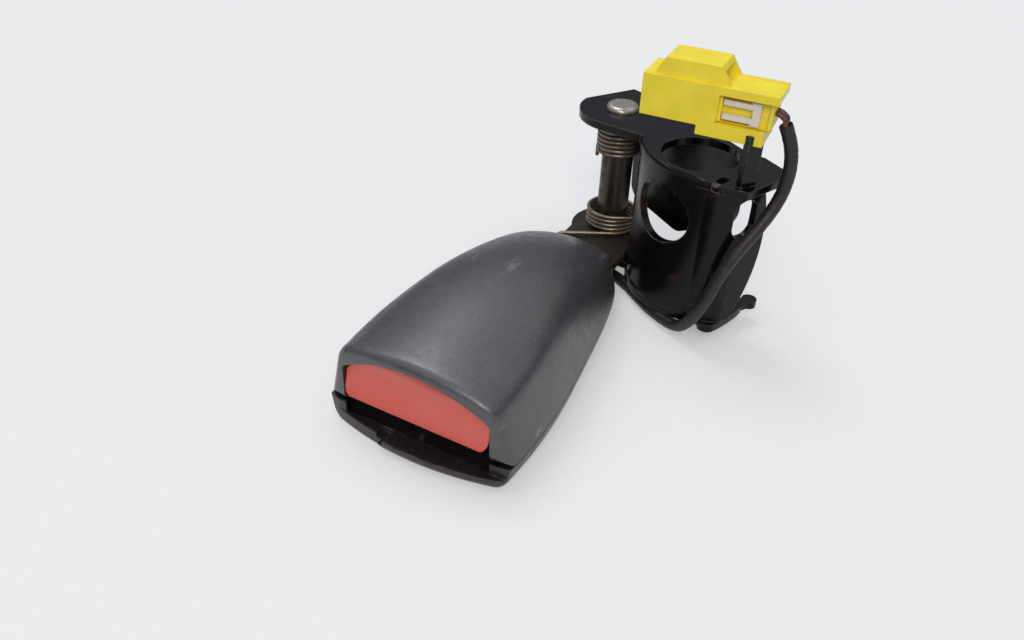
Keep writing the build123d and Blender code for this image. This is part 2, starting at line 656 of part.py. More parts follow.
def bowed_front(centre_back, side_back, far):
    """Outline between a bowed front and a straight line across the head at far."""
    with BuildLine() as edge:
        ThreePointArc((-TRIM_HALF_W, side_back), (0, centre_back), (TRIM_HALF_W, side_back))
        Polyline((TRIM_HALF_W, side_back), (TRIM_HALF_W, far), (-TRIM_HALF_W, far),
                 (-TRIM_HALF_W, side_back))
    make_face(edge.edges())


def mouth_profile(half_width, low, springing, crown, corner):
    """Button opening: flat foot, short sides and an arched top."""
    with BuildLine() as edge:
        Polyline((-half_width, springing), (-half_width, low), (half_width, low), (half_width, springing))
        ThreePointArc((half_width, springing), (0, crown), (-half_width, springing))
    made = make_face(edge.edges())
    fillet(made.vertices(), corner)


with BuildPart() as upper_cover:
    for back, half_width, height in STATIONS:
        with BuildSketch(head_section(back)):
            upper_section(half_width, height, SEAM / 2)
    loft()
    with BuildSketch(head_plane(-1)):
        bowed_front(FRONT_BOW, FRONT_SIDE, HEAD_LEN + 5)
    extrude(amount=40, mode=Mode.INTERSECT)
    fillet(upper_cover.faces().sort_by(Axis.Y)[-1].edges().sort_by(Axis.Z)[1:], 4.5)
    fillet(upper_cover.faces().sort_by(Axis.Y)[0].edges(), RIM_R)
    for back, half_width, height in STATIONS[1:]:
        with BuildSketch(head_section(min(back, HEAD_LEN - COVER_WALL))):
            upper_section(half_width - COVER_WALL, height - COVER_WALL, -1)
    loft(mode=Mode.SUBTRACT)
    with BuildSketch(head_section(FRONT_BOW - 1)):
        mouth_profile(MOUTH_HALF_W, -1, MOUTH_SPRING_H, MOUTH_CROWN_H, 2.0)
    extrude(amount=FRONT_BOW - 1 - STATIONS[1][0] - 1, mode=Mode.SUBTRACT)
    with BuildSketch(head_section(HEAD_LEN + 1)):
        with Locations((0, (STRAP_T + FRAME_TOP) / 2)):
            Rectangle(2 * (STRAP_HALF_W + GAP), STRAP_T + FRAME_TOP + 2 * GAP)
    extrude(amount=8, mode=Mode.SUBTRACT)
save(upper_cover, "upper_cover")

with BuildPart() as lower_cover:
    for back, half_width, height in STATIONS:
        with BuildSketch(head_section(back)):
            lower_section(half_width, -LOWER_DEPTH, -SEAM / 2)
    loft()
    with BuildSketch(head_plane(-LOWER_DEPTH - 1)):
        bowed_front(CHIN_FRONT, CHIN_SIDE, HEAD_LEN + 5)
    extrude(amount=LOWER_DEPTH + 2, mode=Mode.INTERSECT)
    fillet(lower_cover.faces().sort_by(Axis.Y)[-1].edges().sort_by(Axis.Z)[0], 3.0)
    chin = lower_cover.faces().sort_by(Axis.Y)[0]
    fillet(chin.edges().sort_by(Axis.Z)[:-1], CHIN_R)
    for back, half_width, height in ((-1.5, 25.6, 0),) + STATIONS[1:]:
        with BuildSketch(head_section(min(back, HEAD_LEN - COVER_WALL))):
            lower_section(half_width - COVER_WALL, -LOWER_DEPTH + COVER_WALL, 1)
    loft(mode=Mode.SUBTRACT)
    # the chin lies lower than the parting line, and stands out less left of its nick
    with BuildSketch(head_plane(SLOT_LOW)):
        bowed_front(FRONT_BOW, FRONT_SIDE, STATIONS[0][0] - 1)
    extrude(amount=1 - SLOT_LOW, mode=Mode.SUBTRACT)
    with BuildSketch(head_plane(-LOWER_DEPTH - 1)):
        bowed_front(CHIN_FRONT + CHIN_STEP, CHIN_SIDE + CHIN_STEP, STATIONS[0][0] - 1)
        with Locations((NICK_X - TRIM_HALF_W, 0)):
            Rectangle(2 * TRIM_HALF_W, 4 * LOWER_DEPTH, mode=Mode.INTERSECT)
    extrude(amount=LOWER_DEPTH + 2, mode=Mode.SUBTRACT)
    # tongue slot above the chin, with a small nick left of the middle
    with BuildSketch(head_plane(SLOT_LOW)):
        Rectangle(2 * MOUTH_HALF_W, 20)
    extrude(amount=1 - SLOT_LOW, mode=Mode.SUBTRACT)
    with BuildSketch(head_plane(SLOT_LOW - NICK_DEPTH)):
        with Locations((NICK_X, -6)):
            Rectangle(NICK_W, 8)
    extrude(amount=NICK_DEPTH + 1, mode=Mode.SUBTRACT)
    # ribs that the steel frame lies on
    for rib_back in FRAME_RIBS:
        with BuildSketch(head_plane(COVER_WALL - LOWER_DEPTH - 0.5)):
            with Locations(((RIB_LEFT + RIB_RIGHT) / 2, rib_back)):
                Rectangle(RIB_RIGHT - RIB_LEFT, RIB_T)
        extrude(amount=FRAME_LOW - COVER_WALL + LOWER_DEPTH + 0.5)
    # snap arms that hook into the upper cover
    for back, reach in SNAPS:
        for side in (-1, 1):
            with BuildSketch(head_plane(COVER_WALL - LOWER_DEPTH - 0.5)):
                with Locations((side * reach, back)):
                    Rectangle(SNAP_T, SNAP_W)
            extrude(amount=SNAP_TOP - COVER_WALL + LOWER_DEPTH + 0.5)
    # way in for the lead
    with BuildSketch(head_section(HEAD_LEN + 2)):
        with Locations((LEAD_X, LEAD_ENTRY_H)):
            Circle(SLEEVING_R + LEAD_PLAY)
        with Locations((LEAD_X, LEAD_ENTRY_H / 2)):
            Rectangle(2 * (SLEEVING_R + LEAD_PLAY), -LEAD_ENTRY_H + 0.5)
    extrude(amount=8, mode=Mode.SUBTRACT)
save(lower_cover, "lower_cover")

# ================================================================ release button
BUTTON_LOW = 3.6
BUTTON_FRONT = -3.3
BUTTON_DEPTH = 10.0
BUTTON_WALL = 1.8
BUTTON_SPRING_H = MOUTH_SPRING_H - 0.3
BUTTON_CROWN_H = MOUTH_CROWN_H - 0.4
DISH_DEPTH = 2.5
DISH_H = (BUTTON_LOW + BUTTON_CROWN_H) / 2
DISH_R = ((BUTTON_CROWN_H - DISH_H) ** 2 + DISH_DEPTH ** 2) / (2 * DISH_DEPTH)
ARM_FROM_X = FRAME_HALF_W + 0.5
ARM_T = 1.9
ARM_LOW = 7.4
ARM_TOP = 12.4

with BuildPart() as button:
    with BuildSketch(head_section(BUTTON_FRONT)):
        mouth_profile(BUTTON_HALF_W, BUTTON_LOW, BUTTON_SPRING_H, BUTTON_CROWN_H, 2.2)
    extrude(amount=-BUTTON_DEPTH)
    # dished face, hollow along its length
    with BuildSketch(head_side(-BUTTON_HALF_W - 1)):
        with Locations((BUTTON_FRONT - DISH_R + DISH_DEPTH, DISH_H)):
            Circle(DISH_R)
    extrude(amount=2 * BUTTON_HALF_W + 2, mode=Mode.SUBTRACT)
    # open back
    with BuildSketch(head_section(BUTTON_FRONT + DISH_DEPTH + BUTTON_WALL)):
        mouth_profile(BUTTON_HALF_W - BUTTON_WALL, BUTTON_LOW + BUTTON_WALL,
                      BUTTON_SPRING_H - BUTTON_WALL / 2, BUTTON_CROWN_H - BUTTON_WALL, 1.2)
    extrude(amount=-BUTTON_DEPTH, mode=Mode.SUBTRACT)
    # arms that reach back outside the frame walls to the lock bar
    with BuildSketch(head_plane(ARM_LOW)):
        with Locations(*[(side * (ARM_FROM_X + ARM_T / 2), (BUTTON_FRONT + 3 + BAR_BACK - BAR_R - 0.2) / 2)
                         for side in (-1, 1)]):
            Rectangle(ARM_T, BAR_BACK - BAR_R - 0.2 - BUTTON_FRONT - 3)
    extrude(amount=ARM_TOP - ARM_LOW)
save(button, "release_button")

# ================================================================ buckle switch
SWITCH_LOW = 5.0
SWITCH_TOP = 11.0
SWITCH_FROM = 56.6
SWITCH_TO = 72.0
SWITCH_HALF_W = REAR_HALF_W - 0.5
PLUNGER_HALF_W = 2.5
PLUNGER_FRONT = 52.3
PLUNGER_LEN = 7.7
PLUNGER_LOW = SWITCH_LOW + 0.3
PLUNGER_TOP = 7.4

with BuildPart() as switch_housing:
    with BuildSketch(head_plane(SWITCH_LOW)):
        with Locations((0, (SWITCH_FROM + SWITCH_TO) / 2)):
            RectangleRounded(2 * SWITCH_HALF_W, SWITCH_TO - SWITCH_FROM, 1.2)
    extrude(amount=SWITCH_TOP - SWITCH_LOW)
    chamfer(switch_housing.faces().sort_by(Axis.Z)[-1].edges(), 0.6)
    with BuildSketch(head_plane(FRAME_TOP)):
        with Locations(*[(side * (SWITCH_HALF_W - 0.35), (SWITCH_FROM + SWITCH_TO) / 2) for side in (-1, 1)]):
            Rectangle(0.9, (SWITCH_TO - SWITCH_FROM) / 2)
    extrude(amount=SWITCH_LOW - FRAME_TOP + 0.5)
    with BuildSketch(head_section(SWITCH_FROM)):
        with Locations((0, (PLUNGER_LOW + PLUNGER_TOP) / 2)):
            Rectangle(2 * PLUNGER_HALF_W + 0.4, PLUNGER_TOP - PLUNGER_LOW + 0.4)
    extrude(amount=-(PLUNGER_FRONT + PLUNGER_LEN + SWITCH_TRAVEL + 0.5 - SWITCH_FROM), mode=Mode.SUBTRACT)
    with BuildSketch(head_plane(SWITCH_LOW)):
        with Locations(*[(x, WIRE_HOLE[1]) for x in WIRE_XS]):
            Circle(WIRE_R + PRESS_CLEAR)
    extrude(amount=2.0, mode=Mode.SUBTRACT)
save(switch_housing, "switch_housing")

with BuildPart() as plunger:
    with BuildSketch(head_plane(PLUNGER_LOW)):
        with Locations((0, PLUNGER_FRONT + PLUNGER_LEN / 2)):
            Rectangle(2 * PLUNGER_HALF_W, PLUNGER_LEN)
    extrude(amount=PLUNGER_TOP - PLUNGER_LOW)
    fillet(plunger.edges().filter_by(Axis.X).group_by(Axis.Y)[0], 0.8)
save(plunger, "switch_plunger")

# ================================================================ connector on its post
CONN_AT = (17.7, -32.7)             # left front foot of the housing, from the pivot
CONN_TURN = 3.5
CONN_H = 11.2
CONN_D = 12.0
BOX_LEN = 20.5                      # closed stretch, ahead of the plug's window
STEP_FROM = 15.6
STEP_TO = 33.3
RAIL_TO = 35.5
LOW_RAIL_H = 3.8
TOP_RAIL_H = 2.2
HUMP_H = 4.6
HUMP_SET_BACK = 1.0
HUMP_FOOT = (2.6, 22.8)             # along the housing
HUMP_CROWN = (5.2, 19.8)
HUMP_WALL = 1.3
HUMP_HOLLOW_FROM = 12.0
BACK_WALL = 1.2
PLUG_FROM = 8.6
PLUG_TO = 34.4
LOCK_FROM = 21.6
LOCK_TO = 31.3
LOCK_T = 1.2
LOCK_H = (PLUG_LOW + PLUG_TOP) / 2
LOCK_HALF_H = 3.1
LOCK_BAR = 2.1                      # end bar that joins the prongs
PRONG_T = 1.4


def conn_plane(height):
    """Horizontal plane above the connector's underside, x along it, y back from its face."""
    turn = radians(CONN_TURN)
    return Plane(origin=(PIVOT_X + CONN_AT[0], PIVOT_Y + CONN_AT[1], BRACKET_HEIGHT + CONN_RISE + height),
                 x_dir=(cos(turn), sin(turn), 0), z_dir=(0, 0, 1))


def conn_face(depth):
    """Upright plane behind the connector's face: x along it, y up."""
    base = conn_plane(0)
    return Plane(origin=base.from_local_coords(Vector(0, depth, 0)), x_dir=base.x_dir, z_dir=-base.y_dir)


def conn_end(along):
    """Upright plane across the connector: x back from its face, y up, facing the plug end."""
    base = conn_plane(0)
    return Plane(origin=base.from_local_coords(Vector(along, 0, 0)), x_dir=base.y_dir, z_dir=base.x_dir)


with BuildPart() as connector:
    # long box with a deeper stretch and two rails towards the plug
    with BuildSketch(conn_face(0)):
        with BuildLine():
            Polyline((0, 0), (STEP_FROM, 0), (STEP_FROM, -STEP_DROP), (STEP_TO, -STEP_DROP),
                     (STEP_TO, LOW_RAIL_H - STEP_DROP), (BOX_LEN, LOW_RAIL_H - STEP_DROP),
                     (BOX_LEN, CONN_H - TOP_RAIL_H), (RAIL_TO, CONN_H - TOP_RAIL_H), (RAIL_TO, CONN_H),
                     (0, CONN_H), close=True)
        make_face()
    extrude(amount=-CONN_D)
    # back wall behind the window
    with BuildSketch(conn_face(CONN_D - BACK_WALL)):
        with BuildLine():
            Polyline((BOX_LEN, 0), (STEP_TO, 0), (STEP_TO, CONN_H - 1), (BOX_LEN, CONN_H - 1), close=True)
        make_face()
    extrude(amount=-BACK_WALL)
    # roof over the latch, open towards the plug
    with BuildSketch(conn_face(HUMP_SET_BACK)):
        with BuildLine():
            Polyline((HUMP_FOOT[0], CONN_H), (HUMP_CROWN[0], CONN_H + HUMP_H),
                     (HUMP_CROWN[1], CONN_H + HUMP_H), (HUMP_FOOT[1], CONN_H), close=True)
        make_face()
    extrude(amount=HUMP_SET_BACK - CONN_D)
    with BuildSketch(conn_face(HUMP_SET_BACK + HUMP_WALL)):
        with BuildLine():
            Polyline((HUMP_HOLLOW_FROM, CONN_H - 0.2), (HUMP_HOLLOW_FROM, CONN_H + HUMP_H - HUMP_WALL),
                     (RAIL_TO, CONN_H + HUMP_H - HUMP_WALL), (RAIL_TO, CONN_H - 0.2), close=True)
        make_face()
    extrude(amount=HUMP_SET_BACK + 2 * HUMP_WALL - CONN_D, mode=Mode.SUBTRACT)
    # cavity for the plug
    with BuildSketch(conn_face(PLUG_INSET)):
        with BuildLine():
            Polyline((PLUG_FROM - 0.6, LOW_RAIL_H - STEP_DROP), (BOX_LEN, LOW_RAIL_H - STEP_DROP),
                     (BOX_LEN, CONN_H - TOP_RAIL_H), (PLUG_FROM - 0.6, CONN_H - TOP_RAIL_H), close=True)
        make_face()
    extrude(amount=2 * PLUG_INSET - CONN_D, mode=Mode.SUBTRACT)
    # channel that slides on to the post
    with BuildSketch(bracket_plane(BRACKET_HEIGHT + CONN_RISE - STEP_DROP)):
        with Locations((POST_U + POST_T / 2, POST_V)):
            Rectangle(POST_T + 2 * PRESS_CLEAR, POST_W + 2 * PRESS_CLEAR)
    extrude(amount=POST_GRIP, mode=Mode.SUBTRACT)
save(connector, "connector_housing")

with BuildPart() as plug:
    with BuildSketch(conn_face(PLUG_INSET + 0.1)):
        with BuildLine():
            Polyline((PLUG_FROM, PLUG_LOW), (PLUG_TO, PLUG_LOW), (PLUG_TO, PLUG_TOP), (PLUG_FROM, PLUG_TOP),
                     close=True)
        make_face()
    extrude(amount=2 * PLUG_INSET + 0.2 - CONN_D)
    # bed for the sliding lock in the plug's face
    with BuildSketch(conn_face(PLUG_INSET + 0.1)):
        with Locations(((LOCK_FROM + LOCK_TO + LOCK_TRAVEL) / 2, LOCK_H)):
            Rectangle(LOCK_TO - LOCK_FROM + LOCK_TRAVEL + 0.6, 2 * LOCK_HALF_H + 0.5)
    extrude(amount=-LOCK_T - 0.2, mode=Mode.SUBTRACT)
    # wire entries
    with BuildSketch(conn_end(PLUG_TO)):
        with Locations(*PLUG_WIRES):
            Circle(WIRE_R + PRESS_CLEAR)
    extrude(amount=-4.0, mode=Mode.SUBTRACT)
save(plug, "connector_plug")

with BuildPart() as lock:
    with BuildSketch(conn_face(PLUG_INSET + 0.1)):
        with Locations(*[((LOCK_FROM + LOCK_TO) / 2, LOCK_H + side * (LOCK_HALF_H - PRONG_T / 2 - 0.5))
                         for side in (-1, 1)]):
            Rectangle(LOCK_TO - LOCK_FROM, PRONG_T)
        with BuildLine():
            Polyline((LOCK_TO, LOCK_H - LOCK_HALF_H), (LOCK_TO, LOCK_H + LOCK_HALF_H),
                     (LOCK_TO - LOCK_BAR - 0.5, LOCK_H + LOCK_HALF_H), (LOCK_TO - LOCK_BAR, LOCK_H + LOCK_HALF_H - 1),
                     (LOCK_TO - LOCK_BAR, LOCK_H - LOCK_HALF_H + 1), (LOCK_TO - LOCK_BAR - 0.5, LOCK_H - LOCK_HALF_H),
                     close=True)
        make_face()
    extrude(amount=-LOCK_T)
save(lock, "connector_lock")

# ================================================================ lead
LEAD_END_Y = HEAD_LEN - HEAD_REACH - 3.8     # inside the head's rear wall
WIRE_GAP = 0.75                     # half the spacing of the wires where they enter the sleeve
WIRE_END_GAP = 0.45
# the sleeve's route from the plug down past the curved wall, under the base plate and into
# the head, from the pivot axis and the parting line
LEAD_ROUTE = ((54.5, -24.0, 60.6), (55.9, -23.0, 57.2), (57.2, -22.5, 53.0), (57.8, -22.6, 48.5),
              (57.7, -23.1, 44.4), (57.1, -24.2, 40.4), (55.8, -26.1, 36.2), (53.8, -29.0, 31.8),
              (51.5, -31.9, 27.4), (49.4, -34.2, 22.8), (47.6, -35.7, 17.8), (46.2, -36.5, 12.4),
              (44.4, -36.8, 6.8), (42.0, -35.9, 1.4), (38.4, -34.0, -3.6), (33.0, -31.6, -4.5),
              (25.4, -27.6, -4.5), (15.0, -19.4, -4.5), (7.4, -16.0, -4.5), (0.4, -16.9, -4.4),
              (LEAD_X, LEAD_END_Y + 6.6, LEAD_ENTRY_H), (LEAD_X, LEAD_END_Y, LEAD_ENTRY_H))


def route_radii(points, share=0.45):
    """Arc radius at each inner corner of a route, as large as its two runs allow."""
    radii = []
    for before, here, after in zip(points, points[1:], points[2:]):
        run_in = Vector(*here) - Vector(*before)
        run_out = Vector(*after) - Vector(*here)
        half_turn = radians(run_in.get_angle(run_out)) / 2
        radii.append(share * min(run_in.length, run_out.length) / tan(half_turn))
    return radii


def tube(points, radius):
    """Round lead along straight runs and tangent arcs, in the open builder."""
    radii = route_radii(points)
    with BuildLine() as path:
        FilletPolyline(*points, radius=radii)
    wire_sweep(path.line, radius)
    length = sum(edge.length for edge in path.line.edges())
    print("radii", [round(r, 1) for r in radii], "length", round(length, 1))


def from_pivot(point):
    """A point given from the pivot axis and the parting line, in the row's frame."""
    return (PIVOT_X + point[0], PIVOT_Y + point[1], PARTING_Z + point[2])


with BuildPart() as sleeving:
    tube([from_pivot(point) for point in LEAD_ROUTE], SLEEVING_R)
save(sleeving, "lead_sleeve")

LEAD_END_BACK = PIVOT_Y + LEAD_END_Y - FRONT_Y


def from_head(across, back, height):
    """A point given across, back from the front and above the parting line, in the row's frame."""
    return (PIVOT_X + across, FRONT_Y + back, PARTING_Z + height)


with BuildPart() as head_wires:
    for across, side in zip(WIRE_XS, (1, -1)):
        tube([from_head(LEAD_X + side * WIRE_GAP, LEAD_END_BACK - WIRE_END_GAP / 3, LEAD_ENTRY_H),
              from_head(LEAD_X - 1.2 + side * WIRE_GAP * 1.1, LEAD_END_BACK - 5.5, WIRE_LOW),
              from_head(across, LEAD_END_BACK - 13.0, WIRE_LOW),
              from_head(across, WIRE_HOLE[1], WIRE_LOW),
              from_head(across, WIRE_HOLE[1], SWITCH_LOW + 1.5)], WIRE_R)
save(head_wires, "head_wires")

with BuildPart() as connector_wires:
    top = Vector(*from_pivot(LEAD_ROUTE[0]))
    for depth, height in PLUG_WIRES:
        level = conn_plane(height)
        reach = level.to_local_coords(top).X
        inside = level.from_local_coords(Vector(PLUG_TO - 3.5, depth, 0))
        bend = level.from_local_coords(Vector(reach - 2.0, depth, 0))
        over = level.from_local_coords(Vector(reach, depth, top.Z - level.origin.Z + 1.9))
        tube([tuple(inside), tuple(bend), tuple(over), (over.X, over.Y, top.Z + WIRE_END_GAP)], WIRE_R)
save(connector_wires, "connector_wires")
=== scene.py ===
"""Looks of a seat belt buckle: moulded covers, release button, pressed bracket, connector and lead."""

import logging
import math
from collections.abc import Sequence
from dataclasses import dataclass, field
from enum import Enum

import bmesh
import bpy
from mathutils import Matrix, Vector


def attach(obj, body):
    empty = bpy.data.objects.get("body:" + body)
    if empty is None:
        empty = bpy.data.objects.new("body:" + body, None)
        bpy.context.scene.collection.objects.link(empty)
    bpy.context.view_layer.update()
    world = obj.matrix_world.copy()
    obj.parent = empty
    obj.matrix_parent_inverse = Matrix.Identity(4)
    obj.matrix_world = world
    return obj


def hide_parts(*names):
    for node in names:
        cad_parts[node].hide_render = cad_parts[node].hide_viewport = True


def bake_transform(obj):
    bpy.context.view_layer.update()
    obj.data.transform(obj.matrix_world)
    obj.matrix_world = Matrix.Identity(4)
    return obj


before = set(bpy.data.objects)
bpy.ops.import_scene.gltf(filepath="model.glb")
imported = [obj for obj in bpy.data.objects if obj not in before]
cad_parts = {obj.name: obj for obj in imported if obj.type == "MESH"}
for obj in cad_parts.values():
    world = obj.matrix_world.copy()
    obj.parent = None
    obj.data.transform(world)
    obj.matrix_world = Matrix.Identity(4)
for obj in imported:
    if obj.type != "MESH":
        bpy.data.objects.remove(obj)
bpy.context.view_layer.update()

LOG = logging.getLogger("buckle")
MM = 0.001
HEAD_MIDDLE = -31.7197
PIVOT_BACK = 17.2595
HEAD_REACH = 112.5
PARTING_HEIGHT = 2.5
PIVOT = Vector((HEAD_MIDDLE, PIVOT_BACK, 0.0)) * MM
PARTING = PARTING_HEIGHT * MM
HEAD_FRONT = Vector((HEAD_MIDDLE, PIVOT_BACK - HEAD_REACH, PARTING_HEIGHT)) * MM
FLOOR = -4.5 * MM
BEVEL_SAMPLES = 6
EDGE_WHOLE = 0.995
EDGE_WORN = 0.86
WELD = 0.002 * MM
CREASE = math.radians(32)

Colour = tuple[float, float, float, float]
Source = bpy.types.NodeSocket | float | Sequence[float]


def linear(code: str) -> Colour:
    """Turns an sRGB hex colour into the linear values that shaders take.

    Args:
        code: six hex digits, with or without a leading hash.

    Returns:
        Linear red, green and blue, with an alpha of one.
    """
    digits = code.lstrip("#")
    parts = [int(digits[i:i + 2], 16) / 255 for i in (0, 2, 4)]
    red, green, blue = [c / 12.92 if c <= 0.04045 else ((c + 0.055) / 1.055) ** 2.4 for c in parts]
    return (red, green, blue, 1.0)


def put(tree: bpy.types.NodeTree, kind: str, feeds: dict[str | int, Source] | None = None,
        **settings: object) -> bpy.types.Node:
    """Adds a node with its settings, values and links.

    Args:
        tree: the node tree that gets the node.
        kind: the node's type, without its ShaderNode prefix.
        feeds: input name or number to the socket or value that goes into it.
        **settings: attributes of the node itself.

    Returns:
        The new node.
    """
    node = tree.nodes.new("ShaderNode" + kind)
    for name, value in settings.items():
        setattr(node, name, value)
    for key, value in (feeds or {}).items():
        if isinstance(value, bpy.types.NodeSocket):
            tree.links.new(value, node.inputs[key])
        else:
            node.inputs[key].default_value = value
    return node


class Space(Enum):
    """How a pattern lies on a piece."""

    OBJECT = "Object"
    GENERATED = "Generated"


@dataclass(frozen=True)
class Pattern:
    """Noise between two of its levels, stretched on to a range: dust, rust, scuffs or uneven gloss."""

    grain_mm: float
    low: float
    high: float
    detail: float = 3.0
    rough: float = 0.5
    stretch: tuple[float, float, float] = (1.0, 1.0, 1.0)
    start: float = 0.0
    end: float = 1.0


@dataclass(frozen=True)
class Stain:
    """A colour laid over a finish, with the largest share of it that shows."""

    code: str
    share: float


@dataclass(frozen=True)
class Relief:
    """How far a pattern raises the surface, and how strongly that is shaded."""

    depth_mm: float
    strength: float


@dataclass(frozen=True)
class Finish:
    """A surface as its maker leaves it and use wears it."""

    name: str
    colour: str
    roughness: float

    def start(self) -> tuple[bpy.types.Material, bpy.types.NodeTree, bpy.types.Node]:
        """Makes the material with a plain principled shader.

        Returns:
            The material, its tree and its principled node.
        """
        material = bpy.data.materials.new(self.name)
        material.use_nodes = True
        tree = material.node_tree
        tree.nodes.clear()
        shader = put(tree, "BsdfPrincipled", {"Roughness": self.roughness, "Base Color": linear(self.colour)})
        put(tree, "OutputMaterial", {"Surface": shader.outputs["BSDF"]})
        material.diffuse_color = linear(self.colour)
        return material, tree, shader

    def noise(self, tree: bpy.types.NodeTree, grain_mm: float, detail: float = 3.0, rough: float = 0.5,
              stretch: Sequence[float] = (1.0, 1.0, 1.0)) -> bpy.types.NodeSocket:
        """Noise whose features are about a given size on the piece.

        Args:
            tree: the material's tree.
            grain_mm: size of the coarsest feature in millimetres.
            detail: octaves of finer features.
            rough: how strong the finer octaves are.
            stretch: factor of each axis, above one for features that are short along it.

        Returns:
            The noise value's socket.
        """
        place = put(tree, "TexCoord").outputs[Space.OBJECT.value]
        scaled = put(tree, "Mapping", {"Vector": place, "Scale": tuple(stretch)})
        return put(tree, "TexNoise", {"Vector": scaled.outputs[0], "Scale": 1.0 / (grain_mm * MM),
                                      "Detail": detail, "Roughness": rough}).outputs["Fac"]

    def ramp(self, tree: bpy.types.NodeTree, value: bpy.types.NodeSocket, low: float, high: float,
             start: float = 0.0, end: float = 1.0) -> bpy.types.NodeSocket:
        """Stretches a value between two levels on to a new range.

        Args:
            tree: the material's tree.
            value: the socket that is stretched.
            low: level that becomes start.
            high: level that becomes end.
            start: value at and below low.
            end: value at and above high.

        Returns:
            The stretched value's socket.
        """
        return put(tree, "MapRange", {"Value": value, "From Min": low, "From Max": high, "To Min": start,
                                      "To Max": end}, clamp=True).outputs[0]

    def mask(self, tree: bpy.types.NodeTree, pattern: Pattern, base: float = 0.0) -> bpy.types.NodeSocket:
        """Lays a pattern on the piece.

        Args:
            tree: the material's tree.
            pattern: the pattern.
            base: level that the pattern's range is added to.

        Returns:
            The pattern's socket.
        """
        value = self.noise(tree, pattern.grain_mm, pattern.detail, pattern.rough, pattern.stretch)
        return self.ramp(tree, value, pattern.low, pattern.high, base + pattern.start, base + pattern.end)

    def blend(self, tree: bpy.types.NodeTree, share: bpy.types.NodeSocket, under: Source,
              over: Source) -> bpy.types.NodeSocket:
        """Lays one colour over another by a mask.

        Args:
            tree: the material's tree.
            share: mask, one where the upper colour shows.
            under: lower colour.
            over: upper colour.

        Returns:
            The mixed colour's socket.
        """
        return put(tree, "Mix", {0: share, 6: under, 7: over}, data_type="RGBA").outputs[2]

    def stain(self, tree: bpy.types.NodeTree, under: Source, mask: bpy.types.NodeSocket,
              stain: Stain) -> bpy.types.NodeSocket:
        """Lays a stain over a colour.

        Args:
            tree: the material's tree.
            under: the colour that is stained.
            mask: where the stain lies.
            stain: its colour and share.

        Returns:
            The stained colour's socket.
        """
        return self.blend(tree, self.reckon(tree, "MULTIPLY", mask, stain.share), under, linear(stain.code))

    def reckon(self, tree: bpy.types.NodeTree, operation: str, first: Source, second: Source) -> bpy.types.NodeSocket:
        """One arithmetic step on two values.

        Args:
            tree: the material's tree.
            operation: name of the operation, such as MULTIPLY.
            first: first value.
            second: second value.

        Returns:
            The result's socket.
        """
        return put(tree, "Math", {0: first, 1: second}, operation=operation).outputs[0]

    def edges(self, tree: bpy.types.NodeTree, reach_mm: float) -> bpy.types.NodeSocket:
        """Mask that is high along outer edges, where rubbing takes the finish off; on the bracket's rims it also
        carries a painted highlight.

        Args:
            tree: the material's tree.
            reach_mm: how far the wear spreads from an edge.

        Returns:
            The mask's socket.
        """
        soft = put(tree, "Bevel", {"Radius": reach_mm * MM}, samples=BEVEL_SAMPLES).outputs[0]
        hard = put(tree, "NewGeometry").outputs["Normal"]
        same = put(tree, "VectorMath", {0: soft, 1: hard}, operation="DOT_PRODUCT").outputs["Value"]
        return self.ramp(tree, same, EDGE_WHOLE, EDGE_WORN)

    def bump(self, tree: bpy.types.NodeTree, shader: bpy.types.Node, heights: Sequence[tuple[Source, Relief]],
             round_mm: float = 0.0) -> None:
        """Raises the surface by several height patterns.

        Args:
            tree: the material's tree.
            shader: the principled node that gets the normal.
            heights: pattern and relief of each layer.
            round_mm: radius to which sharp edges are softened, or zero.
        """
        normal = put(tree, "Bevel", {"Radius": round_mm * MM}, samples=BEVEL_SAMPLES).outputs[0] if round_mm else None
        for pattern, relief in heights:
            feeds: dict[str | int, Source] = {"Height": pattern, "Distance": relief.depth_mm * MM,
                                              "Strength": relief.strength}
            if normal is not None:
                feeds["Normal"] = normal
            normal = put(tree, "Bump", feeds).outputs[0]
        if normal is not None:
            tree.links.new(normal, shader.inputs["Normal"])

    def set(self, shader: bpy.types.Node, **values: float | tuple[float, ...]) -> None:
        """Sets constant values on the shader's own sockets.

        Args:
            shader: the principled node.
            **values: socket names, with underscores for spaces, and their values.
        """
        for name, value in values.items():
            shader.inputs[name.replace("_", " ")].default_value = value

    def build(self) -> bpy.types.Material:
        """Makes the finish's material.

        Returns:
            The material, plain where a kind of finish adds nothing.
        """
        return self.start()[0]


